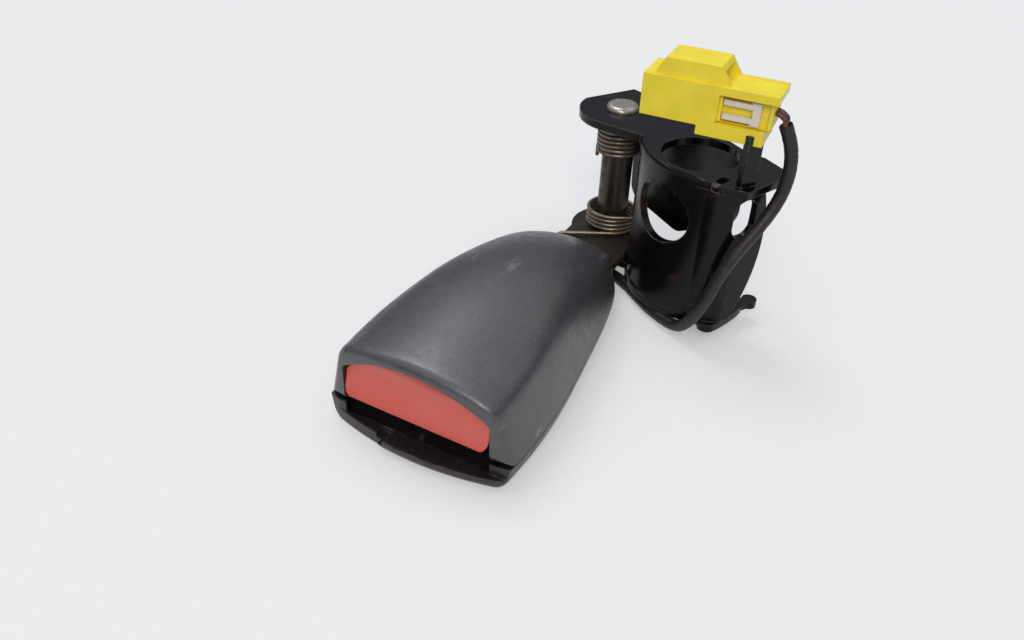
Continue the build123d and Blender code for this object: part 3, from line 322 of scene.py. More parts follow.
@dataclass(frozen=True)
class GrainedPolypropylene(Finish):
    """Charcoal polypropylene moulded against a spark-eroded tool.

    The eye sees a fine pebbled grain with a soft broad sheen, paler dust in the hollows and a few
    light scuffs along the shoulders.
    """

    grain_mm: float = 0.45
    second_colour: str = "#3f3d40"
    sheen: float = 1.0
    ior: float = 1.49
    round_mm: float = 0.5
    shade: Pattern = Pattern(22.0, 0.35, 0.65, detail=2.0)
    mottle: Pattern = Pattern(0.8, 0.38, 0.62, rough=0.75, start=0.80, end=1.18)
    specks: Pattern = Pattern(0.9, 0.66, 0.76, detail=2.0, rough=0.7)
    dust: Stain = Stain("#8d8a88", 0.3)
    streaks: Pattern = Pattern(6.0, 0.63, 0.70, detail=6.0, rough=0.66, stretch=(1.0, 0.3, 1.0))
    patches: Pattern = Pattern(26.0, 0.50, 0.62, detail=1.0)
    scuff_colour: str = "#8d8a8c"
    scuff_share: float = 0.5
    rub_reach_mm: float = 1.2
    rubs: Pattern = Pattern(5.0, 0.45, 0.7)
    rub_share: float = 0.22
    gloss: Pattern = Pattern(3.0, 0.3, 0.7, detail=4.0, start=-0.05, end=0.07)
    pebble_relief: Relief = Relief(0.035, 0.55)
    grit_mm: float = 0.25
    grit_relief: Relief = Relief(0.02, 0.4)

    def build(self) -> bpy.types.Material:
        """The grained plastic with its scuffs."""
        material, tree, shader = self.start()
        tone = self.blend(tree, self.mask(tree, self.shade), linear(self.colour), linear(self.second_colour))
        level = self.mask(tree, self.mottle)
        grey = put(tree, "CombineColor", {0: level, 1: level, 2: level}).outputs[0]
        tone = put(tree, "Mix", {0: 1.0, 6: tone, 7: grey}, data_type="RGBA", blend_type="MULTIPLY").outputs[2]
        tone = self.stain(tree, tone, self.mask(tree, self.specks), self.dust)
        scuffs = self.reckon(tree, "MULTIPLY", self.mask(tree, self.streaks), self.mask(tree, self.patches))
        rubbed = self.reckon(tree, "MULTIPLY", self.edges(tree, self.rub_reach_mm), self.mask(tree, self.rubs))
        worn = self.reckon(tree, "MAXIMUM", self.reckon(tree, "MULTIPLY", scuffs, self.scuff_share),
                           self.reckon(tree, "MULTIPLY", rubbed, self.rub_share))
        tree.links.new(self.blend(tree, worn, tone, linear(self.scuff_colour)), shader.inputs["Base Color"])
        tree.links.new(self.mask(tree, self.gloss, self.roughness), shader.inputs["Roughness"])
        self.set(shader, IOR=self.ior, Specular_IOR_Level=self.sheen)
        place = put(tree, "TexCoord").outputs[Space.OBJECT.value]
        pebbles = put(tree, "TexVoronoi", {"Vector": place, "Scale": 1.0 / (self.grain_mm * MM)},
                      feature="SMOOTH_F1").outputs[0]
        self.bump(tree, shader, [(pebbles, self.pebble_relief),
                                 (self.noise(tree, self.grit_mm, 2.0), self.grit_relief)], self.round_mm)
        return material


@dataclass(frozen=True)
class SatinAbs(Finish):
    """Salmon-red ABS, moulded with a satin face that thumbs have polished.

    The eye sees an even, slightly waxy colour with a soft highlight, and dust and fine rubs.
    """

    faded_colour: str = "#cb4f3c"
    fading: Pattern = Pattern(14.0, 0.35, 0.7, detail=2.0)
    specks: Pattern = Pattern(0.7, 0.68, 0.78, rough=0.7)
    dust: Stain = Stain("#b98b7e", 0.25)
    gloss: Pattern = Pattern(2.5, 0.3, 0.7, detail=4.0, start=-0.06, end=0.08)
    ior: float = 1.53
    polish: float = 0.3
    polish_roughness: float = 0.3
    wax: float = 0.08
    wax_depth_mm: tuple[float, float, float] = (1.2, 0.4, 0.3)
    skin_mm: float = 0.35
    skin_relief: Relief = Relief(0.02, 0.35)
    round_mm: float = 0.5

    def build(self) -> bpy.types.Material:
        """The satin plastic with its thumb polish."""
        material, tree, shader = self.start()
        colour = self.blend(tree, self.mask(tree, self.fading), linear(self.colour), linear(self.faded_colour))
        colour = self.stain(tree, colour, self.mask(tree, self.specks), self.dust)
        tree.links.new(colour, shader.inputs["Base Color"])
        tree.links.new(self.mask(tree, self.gloss, self.roughness), shader.inputs["Roughness"])
        self.set(shader, IOR=self.ior, Specular_IOR_Level=1.0, Coat_Weight=self.polish,
                 Coat_Roughness=self.polish_roughness, Subsurface_Weight=self.wax,
                 Subsurface_Radius=tuple(depth * MM for depth in self.wax_depth_mm))
        self.bump(tree, shader, [(self.noise(tree, self.skin_mm, 3.0, 0.6), self.skin_relief)], self.round_mm)
        return material


@dataclass(frozen=True)
class ElectroCoatedSteel(Finish):
    """Pressed steel dipped in black electro-coat, which draws back from sharp edges.

    The eye sees a wet black gloss with slight orange peel, grey rims that are partly rubbed bare and partly a painted
    highlight on the bends, and brown rust where the coat was thin inside the walls.
    """

    blotches: Pattern = Pattern(9.0, 0.60, 0.74, detail=6.0, rough=0.65)
    rust: Stain = Stain("#4a2a1c", 0.55)
    rim_reach_mm: float = 0.45
    rubs: Pattern = Pattern(4.0, 0.36, 0.62, detail=4.0)
    # grey laid along the rims: partly rubbed-bare coat, partly a painted highlight on the bends
    rim_wear_and_highlight: Stain = Stain("#8f8880", 0.55)
    dulling: Pattern = Pattern(16.0, 0.5, 0.8)
    dull_roughness: float = 0.55
    ior: float = 1.5
    sheen: float = 0.22
    peel_mm: float = 1.6
    peel_relief: Relief = Relief(0.03, 0.25)
    rust_relief: Relief = Relief(0.04, 0.3)
    round_mm: float = 0.45

    def build(self) -> bpy.types.Material:
        """The black coat with rust, and grey rims that are partly wear and partly painted highlight."""
        material, tree, shader = self.start()
        blotch = self.mask(tree, self.blotches)
        colour = self.stain(tree, linear(self.colour), blotch, self.rust)
        # rim mask: edge wear and a painted highlight along the bends, broken up by noise
        rim_wear_and_highlight = self.reckon(tree, "MULTIPLY", self.edges(tree, self.rim_reach_mm), self.mask(tree, self.rubs))
        tree.links.new(self.stain(tree, colour, rim_wear_and_highlight, self.rim_wear_and_highlight), shader.inputs["Base Color"])
        dull = self.reckon(tree, "MAXIMUM", blotch, self.mask(tree, self.dulling))
        tree.links.new(self.ramp(tree, dull, 0.0, 1.0, self.roughness, self.dull_roughness),
                       shader.inputs["Roughness"])
        self.set(shader, IOR=self.ior, Specular_IOR_Level=self.sheen)
        self.bump(tree, shader, [(self.noise(tree, self.peel_mm, 2.0), self.peel_relief),
                                 (blotch, self.rust_relief)], self.round_mm)
        return material


@dataclass(frozen=True)
class BareSteel(Finish):
    """Bare, plated or drawn steel that has dulled.

    The eye sees grey metal with fine marks from making, darker grime, and brown rust in patches.
    """

    rust_share: float = 0.3
    rust_colour: str = "#5a3a28"
    marks: tuple[float, float, float] = (1.0, 1.0, 1.0)
    metal: float = 0.85
    rust_metal: float = 0.1
    rust_roughness: float = 0.8
    clean_level: float = 0.75
    rust_reach: float = 0.35
    rust_spread: tuple[float, float] = (-0.12, 0.06)
    rust_mm: float = 3.5
    grime: Pattern = Pattern(1.3, 0.35, 0.7, detail=5.0, rough=0.6)
    dirt: Stain = Stain("#4b443d", 0.5)
    mark_mm: float = 0.6
    mark_relief: Relief = Relief(0.02, 0.3)
    rust_relief: Relief = Relief(0.05, 0.4)
    round_mm: float = 0.3

    def build(self) -> bpy.types.Material:
        """The metal with grime and rust."""
        material, tree, shader = self.start()
        level = self.clean_level - self.rust_reach * self.rust_share
        low, high = (level + step for step in self.rust_spread)
        rust = self.mask(tree, Pattern(self.rust_mm, low, high, detail=6.0, rough=0.65))
        metal = self.stain(tree, linear(self.colour), self.mask(tree, self.grime), self.dirt)
        tree.links.new(self.blend(tree, rust, metal, linear(self.rust_colour)), shader.inputs["Base Color"])
        tree.links.new(self.ramp(tree, rust, 0.0, 1.0, self.metal, self.rust_metal), shader.inputs["Metallic"])
        tree.links.new(self.ramp(tree, rust, 0.0, 1.0, self.roughness, self.rust_roughness),
                       shader.inputs["Roughness"])
        scratches = self.noise(tree, self.mark_mm, 3.0, 0.6, self.marks)
        self.bump(tree, shader, [(scratches, self.mark_relief), (rust, self.rust_relief)], self.round_mm)
        return material


@dataclass(frozen=True)
class GlossyPbt(Finish):
    """Glass-free PBT or nylon straight from a polished mould.

    The eye sees a clean bright colour, slightly see-through at thin rims, with a smooth highlight.
    """

    shade_colour: str = "#d9a800"
    shade_share: float = 0.6
    glow: float = 0.12
    glow_depth_mm: tuple[float, float, float] = (1.5, 1.1, 0.3)
    flow: Pattern = Pattern(7.0, 0.35, 0.7, detail=2.0)
    specks: Pattern = Pattern(1.1, 0.70, 0.76, detail=5.0, rough=0.7)
    dirt: Stain = Stain("#6b5417", 0.55)
    gloss: Pattern = Pattern(2.0, 0.3, 0.7, end=0.12)
    ior: float = 1.55
    wave_mm: float = 1.5
    wave_relief: Relief = Relief(0.02, 0.2)
    round_mm: float = 0.25

    def build(self) -> bpy.types.Material:
        """The glossy plastic with specks of dirt."""
        material, tree, shader = self.start()
        colour = self.stain(tree, linear(self.colour), self.mask(tree, self.flow),
                            Stain(self.shade_colour, self.shade_share))
        colour = self.stain(tree, colour, self.mask(tree, self.specks), self.dirt)
        tree.links.new(colour, shader.inputs["Base Color"])
        tree.links.new(self.mask(tree, self.gloss, self.roughness), shader.inputs["Roughness"])
        self.set(shader, IOR=self.ior, Subsurface_Weight=self.glow,
                 Subsurface_Radius=tuple(depth * MM for depth in self.glow_depth_mm))
        self.bump(tree, shader, [(self.noise(tree, self.wave_mm, 2.0), self.wave_relief)], self.round_mm)
        return material


@dataclass(frozen=True)
class TwoWires(Finish):
    """Two PVC-insulated wires that lie side by side, each in its own colour.

    The eye sees one brown and one violet-brown strand with a soft vinyl gloss.
    """

    second_colour: str = "#4a2c44"
    split_axis: int = 1
    split_at: float = 0.0
    grime: Pattern = Pattern(2.0, 0.5, 0.75, detail=4.0)
    dirt: Stain = Stain("#1e1512", 0.5)
    ior: float = 1.53
    skin_mm: float = 0.5
    skin_relief: Relief = Relief(0.02, 0.3)

    def build(self) -> bpy.types.Material:
        """The insulation, one colour each side of the split."""
        material, tree, shader = self.start()
        place = put(tree, "TexCoord").outputs[Space.OBJECT.value]
        along = put(tree, "SeparateXYZ", {0: place}).outputs[self.split_axis]
        side = self.reckon(tree, "GREATER_THAN", along, self.split_at)
        colour = self.blend(tree, side, linear(self.colour), linear(self.second_colour))
        colour = self.stain(tree, colour, self.mask(tree, self.grime), self.dirt)
        tree.links.new(colour, shader.inputs["Base Color"])
        self.set(shader, IOR=self.ior)
        self.bump(tree, shader, [(self.noise(tree, self.skin_mm, 2.0), self.skin_relief)])
        return material


@dataclass(frozen=True)
class Sleeving(Finish):
    """Extruded PVC sleeving with a matt skin that dust clings to.

    The eye sees near-black with faint lengthwise drag marks and a grey bloom.
    """

    bloom: Pattern = Pattern(2.2, 0.48, 0.75, detail=5.0, rough=0.65)
    dust: Stain = Stain("#4a3f3c", 0.35)
    ior: float = 1.52
    drag_mm: float = 0.4
    drag_stretch: tuple[float, float, float] = (1.0, 1.0, 0.3)
    drag_relief: Relief = Relief(0.03, 0.4)

    def build(self) -> bpy.types.Material:
        """The sleeving with its bloom."""
        material, tree, shader = self.start()
        colour = self.stain(tree, linear(self.colour), self.mask(tree, self.bloom), self.dust)
        tree.links.new(colour, shader.inputs["Base Color"])
        self.set(shader, IOR=self.ior)
        marks = self.noise(tree, self.drag_mm, 3.0, 0.6, self.drag_stretch)
        self.bump(tree, shader, [(marks, self.drag_relief)])
        return material


@dataclass(frozen=True)
class PaperSweep(Finish):
    """Matt studio paper under the object.

    The eye sees an even pale ground that carries only the object's soft shadow.
    """

    fibre: Pattern = Pattern(2.5, 0.3, 0.7, detail=4.0, rough=0.7)
    thin_colour: str = "#e8e8e8"
    thick_colour: str = "#eaeaea"
    bounce_colour: str = "#b4b2b0"
    sheen: float = 0.1
    even_share: float = 0.4

    def build(self) -> bpy.types.Material:
        """The paper, shown at its own level to the camera and to shiny surfaces."""
        material, tree, shader = self.start()
        colour = self.blend(tree, self.mask(tree, self.fibre), linear(self.thin_colour), linear(self.thick_colour))
        tree.links.new(colour, shader.inputs["Base Color"])
        self.set(shader, Specular_IOR_Level=self.sheen)
        path = put(tree, "LightPath")
        shown = self.reckon(tree, "MAXIMUM", path.outputs["Is Camera Ray"], path.outputs["Is Transmission Ray"])
        shown = self.reckon(tree, "MAXIMUM", shown, path.outputs["Is Glossy Ray"])
        even = put(tree, "Emission", {"Color": colour, "Strength": 1.0})
        ground = put(tree, "MixShader", {0: self.even_share, 1: shader.outputs[0], 2: even.outputs[0]})
        bounce = put(tree, "BsdfDiffuse", {"Color": linear(self.bounce_colour)})
        mixed = put(tree, "MixShader", {0: shown, 1: bounce.outputs[0], 2: ground.outputs[0]})
        exit_node = next(node for node in tree.nodes if node.type == "OUTPUT_MATERIAL")
        tree.links.new(mixed.outputs[0], exit_node.inputs["Surface"])
        return material


WIRE_BROWN = "#5b2f1c"
WIRE_ROUGHNESS = 0.38
PLUG_WIRES_APART = (PIVOT_BACK - 24.0) * MM
HEAD_WIRES_APART = (HEAD_MIDDLE - 10.05) * MM

COVER = GrainedPolypropylene("grained_charcoal_polypropylene", "#38393f", 0.36)
UNDER_COVER = GrainedPolypropylene("grained_black_polypropylene", "#171416", 0.36, second_colour="#1d191c", sheen=0.6)
SWITCH = GrainedPolypropylene("plain_black_switch_plastic", "#18181a", 0.45, second_colour="#1e1d20", sheen=0.5)
BUTTON = SatinAbs("satin_salmon_abs", "#cd3c26", 0.33)
COATED = ElectroCoatedSteel("black_electro_coated_steel", "#0b0a0a", 0.2)
ZINC = BareSteel("dulled_zinc_plated_steel", "#c4bdb6", 0.34, rust_share=0.12)
STRAP = BareSteel("rusty_strap_steel", "#2b241e", 0.5, rust_share=0.75, rust_colour="#241b14", metal=0.6)
TURNED = BareSteel("turned_pivot_sleeve_steel", "#4a423b", 0.32, rust_share=0.45, rust_colour="#33271f",
                   marks=(1.0, 1.0, 6.0))
DRAWN = BareSteel("drawn_spring_wire", "#8d8373", 0.36, marks=(1.0, 1.0, 4.0))
YELLOW = GlossyPbt("yellow_moulded_pbt", "#f6e436", 0.3, shade_colour="#e6cf2c")
WHITE = GlossyPbt("natural_nylon", "#e4e0da", 0.4, shade_colour="#d2ccc2", glow=0.2)
PLUG_WIRES = TwoWires("brown_and_violet_wire_insulation", WIRE_BROWN, WIRE_ROUGHNESS, split_at=PLUG_WIRES_APART)
HEAD_WIRES = TwoWires("wire_insulation_in_the_head", WIRE_BROWN, WIRE_ROUGHNESS, split_axis=0,
                      split_at=HEAD_WIRES_APART)
SLEEVE = Sleeving("matt_black_sleeving", "#150e0e", 0.5)
PAPER = PaperSweep("matt_studio_paper", "#ededed", 0.9)


def ease(value: float, start: float, end: float) -> float:
    """Smooth step from zero at start to one at end.

    Args:
        value: where on the way.
        start: where the step begins.
        end: where it is complete.

    Returns:
        The share of the step.
    """
    share = min(max((value - start) / (end - start), 0.0), 1.0)
    return share * share * (3 - 2 * share)


def add_piece(name: str, mesh: bpy.types.Mesh, material: bpy.types.Material) -> bpy.types.Object:
    """Puts a mesh with its finish into the scene.

    Args:
        name: the piece's name.
        mesh: its mesh.
        material: its finish.

    Returns:
        The new object.
    """
    mesh.materials.clear()
    mesh.materials.append(material)
    piece = bpy.data.objects.new(name, mesh)
    bpy.context.scene.collection.objects.link(piece)
    return piece


@dataclass(frozen=True)
class Arch:
    """A round arch over the mouth, in millimetres above the parting."""

    half_span: float
    spring: float
    crown: float

    def height(self, across: float) -> float:
        """The arch's height at a place across the head.

        Args:
            across: distance from the head's middle.

        Returns:
            Height above the parting.
        """
        rise = self.crown - self.spring
        radius = (self.half_span ** 2 + rise ** 2) / (2 * rise)
        return self.crown - radius + math.sqrt(radius ** 2 - min(abs(across), self.half_span) ** 2)


@dataclass(frozen=True)
class LipForm:
    """Draws the head's front in to a thin rolled lip over a fuller mouth, in millimetres.

    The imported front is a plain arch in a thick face; the moulded one follows the cover's outline closely.
    """

    plain: Arch = Arch(21.4, 8.6, 20.3)
    moulded: Arch = Arch(21.4, 11.8, 18.8)
    foot: float = 3.6
    lip_drop: float = 1.9
    full_to: float = 9.0
    none_from: float = 46.0
    cheek_to: float = 24.5
    shoulder_from: float = 19.0
    shoulder_to: float = 26.0
    outside_crown: float = 22.9
    outside_half: float = 26.6
    outside_end: float = 26.4
    squareness: int = 5
    thinnest: float = 1.0

    def outline(self, across: float) -> float:
        """Height of the cover's outside at its front.

        Args:
            across: distance from the head's middle.

        Returns:
            Height above the parting.
        """
        share = min(abs(across), self.outside_end) / self.outside_half
        return self.outside_crown * (1 - share ** self.squareness) ** 0.5

    def lift(self, across: float, back: float, height: float) -> float:
        """How far a point of the head moves up.

        Args:
            across: distance from the head's middle.
            back: distance behind the head's front.
            height: height above the parting.

        Returns:
            The lift in millimetres, below zero where the point comes down.
        """
        arch = self.plain.height(across)
        side = 1 - ease(abs(across), self.plain.half_span, self.cheek_to)
        at_arch = (self.moulded.height(across) - arch) * side
        at_top = -self.lip_drop * (1 - ease(abs(across), self.shoulder_from, self.shoulder_to))
        if height < arch:
            share = min(max((height - self.foot) / (arch - self.foot), 0.0), 1.0)
            moved = at_arch * share
        else:
            share = min((height - arch) / max(self.outline(across) - arch, self.thinnest), 1.0)
            moved = at_arch + (at_top - at_arch) * share
        return moved * (1 - ease(back, self.full_to, self.none_from))

    def reshape(self, node: str, body: str, material: bpy.types.Material, slot: str) -> bpy.types.Object:
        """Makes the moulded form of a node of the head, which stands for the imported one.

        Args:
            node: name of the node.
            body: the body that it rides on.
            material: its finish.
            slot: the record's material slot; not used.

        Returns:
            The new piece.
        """
        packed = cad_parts[node]
        mesh = bpy.data.meshes.new(node + "_moulded")
        shape = bmesh.new()
        shape.from_mesh(packed.data)
        shape.transform(packed.matrix_world)
        bmesh.ops.remove_doubles(shape, verts=shape.verts, dist=WELD)
        for vertex in shape.verts:
            place = (vertex.co - HEAD_FRONT) / MM
            vertex.co.z += self.lift(place.x, place.y, place.z) * MM
        shape.to_mesh(mesh)
        shape.free()
        for name in ("custom_normal", "sharp_edge", "sharp_face"):
            if name in mesh.attributes:
                mesh.attributes.remove(mesh.attributes[name])
        mesh.shade_smooth()
        mesh.set_sharp_from_angle(angle=CREASE)
        piece = add_piece(node + "_moulded", mesh, material)
        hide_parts(node)
        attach(piece, body)
        LOG.info("moulded %s", node)
        return piece


@dataclass(frozen=True)
class LiveSpring:
    """A spring named by the body at each of its ends; the copy stays where it lies in the import and is tied to
    neither body.
    """

    node: str
    still: str
    moved: str
    still_y: float
    moved_y: float

    def build(self, material: bpy.types.Material) -> bpy.types.Object:
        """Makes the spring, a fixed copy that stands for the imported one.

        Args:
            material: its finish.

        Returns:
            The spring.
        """
        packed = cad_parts[self.node]
        mesh = packed.data.copy()
        mesh.transform(packed.matrix_world)
        spring = add_piece(self.node + "_live", mesh, material)
        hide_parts(self.node)
        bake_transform(spring)
        LOG.info("spring %s between %s and %s", self.node, self.still, self.moved)
        return spring


LEAD_ROUTE = ((54.5, -24.0, 60.6), (55.9, -23.0, 57.2), (57.2, -22.5, 53.0), (57.8, -22.6, 48.5),
              (57.7, -23.1, 44.4), (57.1, -24.2, 40.4), (55.8, -26.1, 36.2), (53.8, -29.0, 31.8),
              (51.5, -31.9, 27.4), (49.4, -34.2, 22.8), (47.6, -35.7, 17.8), (46.2, -36.5, 12.4),
              (44.4, -36.8, 6.8), (42.0, -35.9, 1.4), (38.4, -34.0, -3.6), (33.0, -31.6, -4.5),
              (25.4, -27.6, -4.5), (15.0, -19.4, -4.5), (7.4, -16.0, -4.5), (0.4, -16.9, -4.4),
              (-5.0, -23.2, -3.2), (-5.0, -29.8, -3.2))


@dataclass(frozen=True)
class Lead:
    """The sleeved lead that hangs from the connector, passes under the strap and enters the head."""

    route: tuple[tuple[float, float, float], ...] = LEAD_ROUTE
    steps: int = 14
    radius: float = 1.8
    wall: float = 0.45
    mouth: float = 3.0
    flare: float = 1.02
    rounding: float = 0.1
    sides: int = 28
    unevenness: float = 0.018
    ripple: float = 0.9
    wander: float = 0.23
    still_end: tuple[float, float, float] = (30.0, -30.0, 0.0)
    moved_end: tuple[float, float, float] = (6.0, -16.0, 0.0)

    def centreline(self) -> list[Vector]:
        """Points along the smooth line that the sleeve follows.

        Returns:
            The points in metres, from the connector's end to the head's end.
        """
        data = bpy.data.curves.new("lead_line", "CURVE")
        data.dimensions = "3D"
        data.resolution_u = self.steps
        spline = data.splines.new("NURBS")
        spline.points.add(len(self.route) - 1)
        for point, (x, y, z) in zip(spline.points, self.route, strict=True):
            place = PIVOT + Vector((x, y, z)) * MM + Vector((0, 0, PARTING))
            point.co = (*place, 1.0)
        spline.order_u = 3
        spline.use_endpoint_u = True
        line = bpy.data.objects.new("lead_line", data)
        bpy.context.scene.collection.objects.link(line)
        bpy.context.view_layer.update()
        mesh = bpy.data.meshes.new_from_object(line.evaluated_get(bpy.context.evaluated_depsgraph_get()))
        points = [vertex.co.copy() for vertex in mesh.vertices]
        bpy.data.objects.remove(line)
        bpy.data.meshes.remove(mesh)
        return points

    def rings(self, line: Sequence[Vector]) -> list[tuple[Vector, Vector, Vector, float]]:
        """Places of the sleeve's rings: its mouth's inner wall first, then its skin to the far end.

        Args:
            line: the centreline's points.

        Returns:
            Centre, two directions across and radius of each ring.
        """
        ahead = [(line[min(i + 1, len(line) - 1)] - line[max(i - 1, 0)]).normalized() for i in range(len(line))]
        across = ahead[0].orthogonal().normalized()
        skin = []
        for index, (centre, tangent) in enumerate(zip(line, ahead, strict=True)):
            across = (across - tangent * across.dot(tangent)).normalized()
            swell = 1 + self.unevenness * math.sin(index * self.ripple) * math.sin(index * self.wander)
            skin.append((centre, across.copy(), tangent.cross(across), self.radius * MM * swell))
        inner = (self.radius - self.wall) * MM
        start, first, second, _ = skin[0]
        deep = start + ahead[0] * self.mouth * MM
        lip = [(deep, first, second, inner), (start, first, second, inner * self.flare),
               (start - ahead[0] * self.rounding * MM, first, second, (inner + self.radius * MM) / 2)]
        return lip + skin

    def skin(self, line: Sequence[Vector]) -> bpy.types.Mesh:
        """Joins the rings into the sleeve's closed skin.

        Args:
            line: the centreline's points.

        Returns:
            The skin's mesh.
        """
        corners: list[Vector] = []
        faces: list[tuple[int, ...]] = []
        rings = self.rings(line)
        for centre, first, second, radius in rings:
            for side in range(self.sides):
                turn = math.tau * side / self.sides
                corners.append(centre + (first * math.cos(turn) + second * math.sin(turn)) * radius)
        for ring in range(len(rings) - 1):
            for side in range(self.sides):
                beside = (side + 1) % self.sides
                low, high = ring * self.sides, (ring + 1) * self.sides
                faces.append((low + side, low + beside, high + beside, high + side))
        faces.append(tuple(range(self.sides - 1, -1, -1)))
        faces.append(tuple((len(rings) - 1) * self.sides + side for side in range(self.sides)))
        mesh = bpy.data.meshes.new("lead_sleeve_skin")
        mesh.from_pydata(corners, [], faces)
        mesh.validate()
        for face in mesh.polygons:
            face.use_smooth = len(face.vertices) == 4
        return mesh

    def build(self, material: bpy.types.Material) -> bpy.types.Object:
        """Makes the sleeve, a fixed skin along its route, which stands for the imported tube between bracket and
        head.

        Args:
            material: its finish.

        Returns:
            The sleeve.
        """
        line = self.centreline()
        sleeve = add_piece("lead_sleeve_skin", self.skin(line), material)
        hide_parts("lead_sleeve")
        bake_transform(sleeve)
        return sleeve


def dress(node: str, material: bpy.types.Material) -> None:
    """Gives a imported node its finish.

    Args:
        node: name of the node.
        material: the finish's material.
    """
    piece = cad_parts[node]
    piece.data.materials.clear()
    piece.data.materials.append(material)
    LOG.info("dressed %s in %s", node, material.name)


@dataclass
class FinishShop:
    """Makes each finish once and hands out its material."""

    made: dict[str, bpy.types.Material] = field(default_factory=dict)

    def get(self, finish: Finish) -> bpy.types.Material:
        """The finish's material, made at the first call.

        Args:
            finish: the finish.

        Returns:
            Its material.
        """
        if finish.name not in self.made:
            self.made[finish.name] = finish.build()
        return self.made[finish.name]


@dataclass(frozen=True)
class Head:
    """The buckle's head: covers, button and the works inside."""

    form: LipForm = LipForm()
    plated: tuple[str, ...] = ("buckle_frame", "strap_rivets", "latch_pin", "lock_bar", "latch")
    white: tuple[str, ...] = ("spring_seat", "ejector", "switch_plunger")
    springs: tuple[LiveSpring, ...] = (LiveSpring("ejector_spring", "head", "ejector", -41.0, -58.5),
                                       LiveSpring("lock_bar_spring", "head", "lock_bar", -57.6, -68.9))

    def dress(self, shop: FinishShop) -> None:
        """Dresses every piece of the head.

        Args:
            shop: where the finishes are made.
        """
        dress("lower_cover", shop.get(UNDER_COVER))
        self.form.reshape("upper_cover", "head", shop.get(COVER), "black_plastic")
        self.form.reshape("release_button", "button", shop.get(BUTTON), "red_plastic")
        for node in self.plated:
            dress(node, shop.get(ZINC))
        for node in self.white:
            dress(node, shop.get(WHITE))
        dress("latch_spring", shop.get(DRAWN))
        for spring in self.springs:
            spring.build(shop.get(DRAWN))
        dress("anchor_strap", shop.get(STRAP))
        dress("switch_housing", shop.get(SWITCH))
        dress("head_wires", shop.get(HEAD_WIRES))


@dataclass(frozen=True)
class Bracket:
    """The pressed bracket with its pivot, springs and connector."""

    coated: tuple[str, ...] = ("anchor_bracket", "thrust_collar")
    plated: tuple[str, ...] = ("pivot_rivet", "rivet_washer")
    yellow: tuple[str, ...] = ("connector_housing", "connector_plug")
    leg_spring: LiveSpring = LiveSpring("lower_torsion_spring", "bracket", "head", 9.0, 3.0)
    lead: Lead = Lead()

    def dress(self, shop: FinishShop) -> None:
        """Dresses every piece of the bracket.

        Args:
            shop: where the finishes are made.
        """
        for node in self.coated:
            dress(node, shop.get(COATED))
        for node in self.plated:
            dress(node, shop.get(ZINC))
        for node in self.yellow:
            dress(node, shop.get(YELLOW))
        dress("upper_torsion_spring", shop.get(DRAWN))
        self.leg_spring.build(shop.get(DRAWN))
        dress("pivot_sleeve", shop.get(TURNED))
        dress("connector_lock", shop.get(WHITE))
        dress("connector_wires", shop.get(PLUG_WIRES))
        self.lead.build(shop.get(SLEEVE))


@dataclass(frozen=True)
class Lamp:
    """A soft square lamp that faces the object."""

    name: str
    at: tuple[float, float, float]
    size: float
    watts: float
    colour: str = "#ffffff"

    def hang(self) -> None:
        """Hangs the lamp."""
        light = bpy.data.lights.new(self.name, "AREA")
        light.size = self.size
        light.energy = self.watts
        light.color = linear(self.colour)[:3]
        lamp = bpy.data.objects.new(self.name, light)
        lamp.location = self.at
        lamp.rotation_euler = (-Vector(self.at)).to_track_quat("-Z", "Y").to_euler()
        bpy.context.scene.collection.objects.link(lamp)


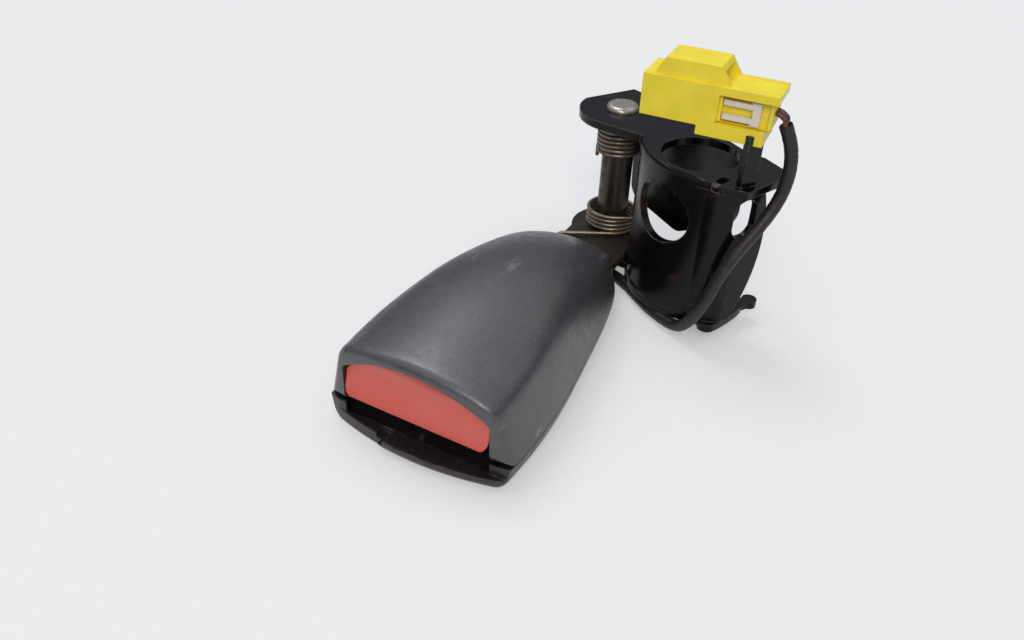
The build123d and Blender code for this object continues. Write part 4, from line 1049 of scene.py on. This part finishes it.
@dataclass(frozen=True)
class Studio:
    """Floor, lamps, room and camera; angles in degrees."""

    pitch: float = 36.0
    heading: float = 28.57
    roll: float = 2.0
    lens: float = 31.64
    film_width: float = 36.0
    nearest: float = 0.005
    camera_at: tuple[float, float, float] = (66.51, -229.84, 156.18)
    floor_size: float = 3.0
    lamps: tuple[Lamp, ...] = (Lamp("key", (-2.4, 1.2, 5.2), 2.4, 85.0),
                               Lamp("fill", (1.8, -4.8, 3.8), 3.0, 185.0, "#fff3e6"))
    walls: float = 0.14
    walls_to: float = 0.3
    ceiling: float = 0.9
    ceiling_from: float = 0.75
    room_colour: str = "#eef3ff"
    backdrop_colour: str = "#ededed"

    def floor(self, shop: FinishShop) -> None:
        """Lays the paper floor.

        Args:
            shop: where the finishes are made.
        """
        half = self.floor_size / 2
        mesh = bpy.data.meshes.new("studio_floor")
        mesh.from_pydata([(-half, -half, FLOOR), (half, -half, FLOOR), (half, half, FLOOR), (-half, half, FLOOR)],
                         [], [(0, 1, 2, 3)])
        add_piece("studio_floor", mesh, shop.get(PAPER))

    def room(self) -> None:
        """Fills the room with light that falls from a bright ceiling to dim walls.

        The camera sees the room's pale backdrop instead.
        """
        world = bpy.data.worlds.new("studio_room")
        world.use_nodes = True
        tree = world.node_tree
        tree.nodes.clear()
        path = put(tree, "LightPath")
        direct = put(tree, "Math", {0: path.outputs["Is Camera Ray"], 1: path.outputs["Is Transmission Ray"]},
                     operation="MAXIMUM").outputs[0]
        place = put(tree, "TexCoord").outputs[Space.GENERATED.value]
        up = put(tree, "SeparateXYZ", {0: place}).outputs["Z"]
        level = put(tree, "MapRange", {"Value": up, "From Min": self.walls_to, "From Max": self.ceiling_from,
                                       "To Min": self.walls, "To Max": self.ceiling}, clamp=True).outputs[0]
        lit = put(tree, "Background", {"Color": linear(self.room_colour), "Strength": level})
        shown = put(tree, "Background", {"Color": linear(self.backdrop_colour), "Strength": 1.0})
        mixed = put(tree, "MixShader", {0: direct, 1: lit.outputs[0], 2: shown.outputs[0]})
        put(tree, "OutputWorld", {"Surface": mixed.outputs[0]})
        bpy.context.scene.world = world

    def camera(self) -> None:
        """Sets the camera up by its heading, pitch and roll."""
        data = bpy.data.cameras.new("camera")
        data.lens = self.lens
        data.sensor_width = self.film_width
        data.clip_start = self.nearest
        camera = bpy.data.objects.new("camera", data)
        pitch, heading = math.radians(self.pitch), math.radians(self.heading)
        look = Vector((-math.sin(heading) * math.cos(pitch), math.cos(heading) * math.cos(pitch), -math.sin(pitch)))
        turn = look.to_track_quat("-Z", "Y").to_matrix().to_4x4() @ Matrix.Rotation(math.radians(self.roll), 4, "Z")
        camera.matrix_world = Matrix.Translation(Vector(self.camera_at) * MM) @ turn
        bpy.context.scene.collection.objects.link(camera)
        bpy.context.scene.camera = camera

    def build(self, shop: FinishShop) -> None:
        """Sets up the whole studio.

        Args:
            shop: where the finishes are made.
        """
        self.camera()
        self.floor(shop)
        self.room()
        for lamp in self.lamps:
            lamp.hang()
        bpy.context.scene.view_settings.view_transform = "Standard"


def main() -> None:
    """Builds the studio and dresses each sub-assembly."""
    logging.basicConfig(level=logging.INFO)
    shop = FinishShop()
    Studio().build(shop)
    Bracket().dress(shop)
    Head().dress(shop)


if __name__ == "__main__":
    main()
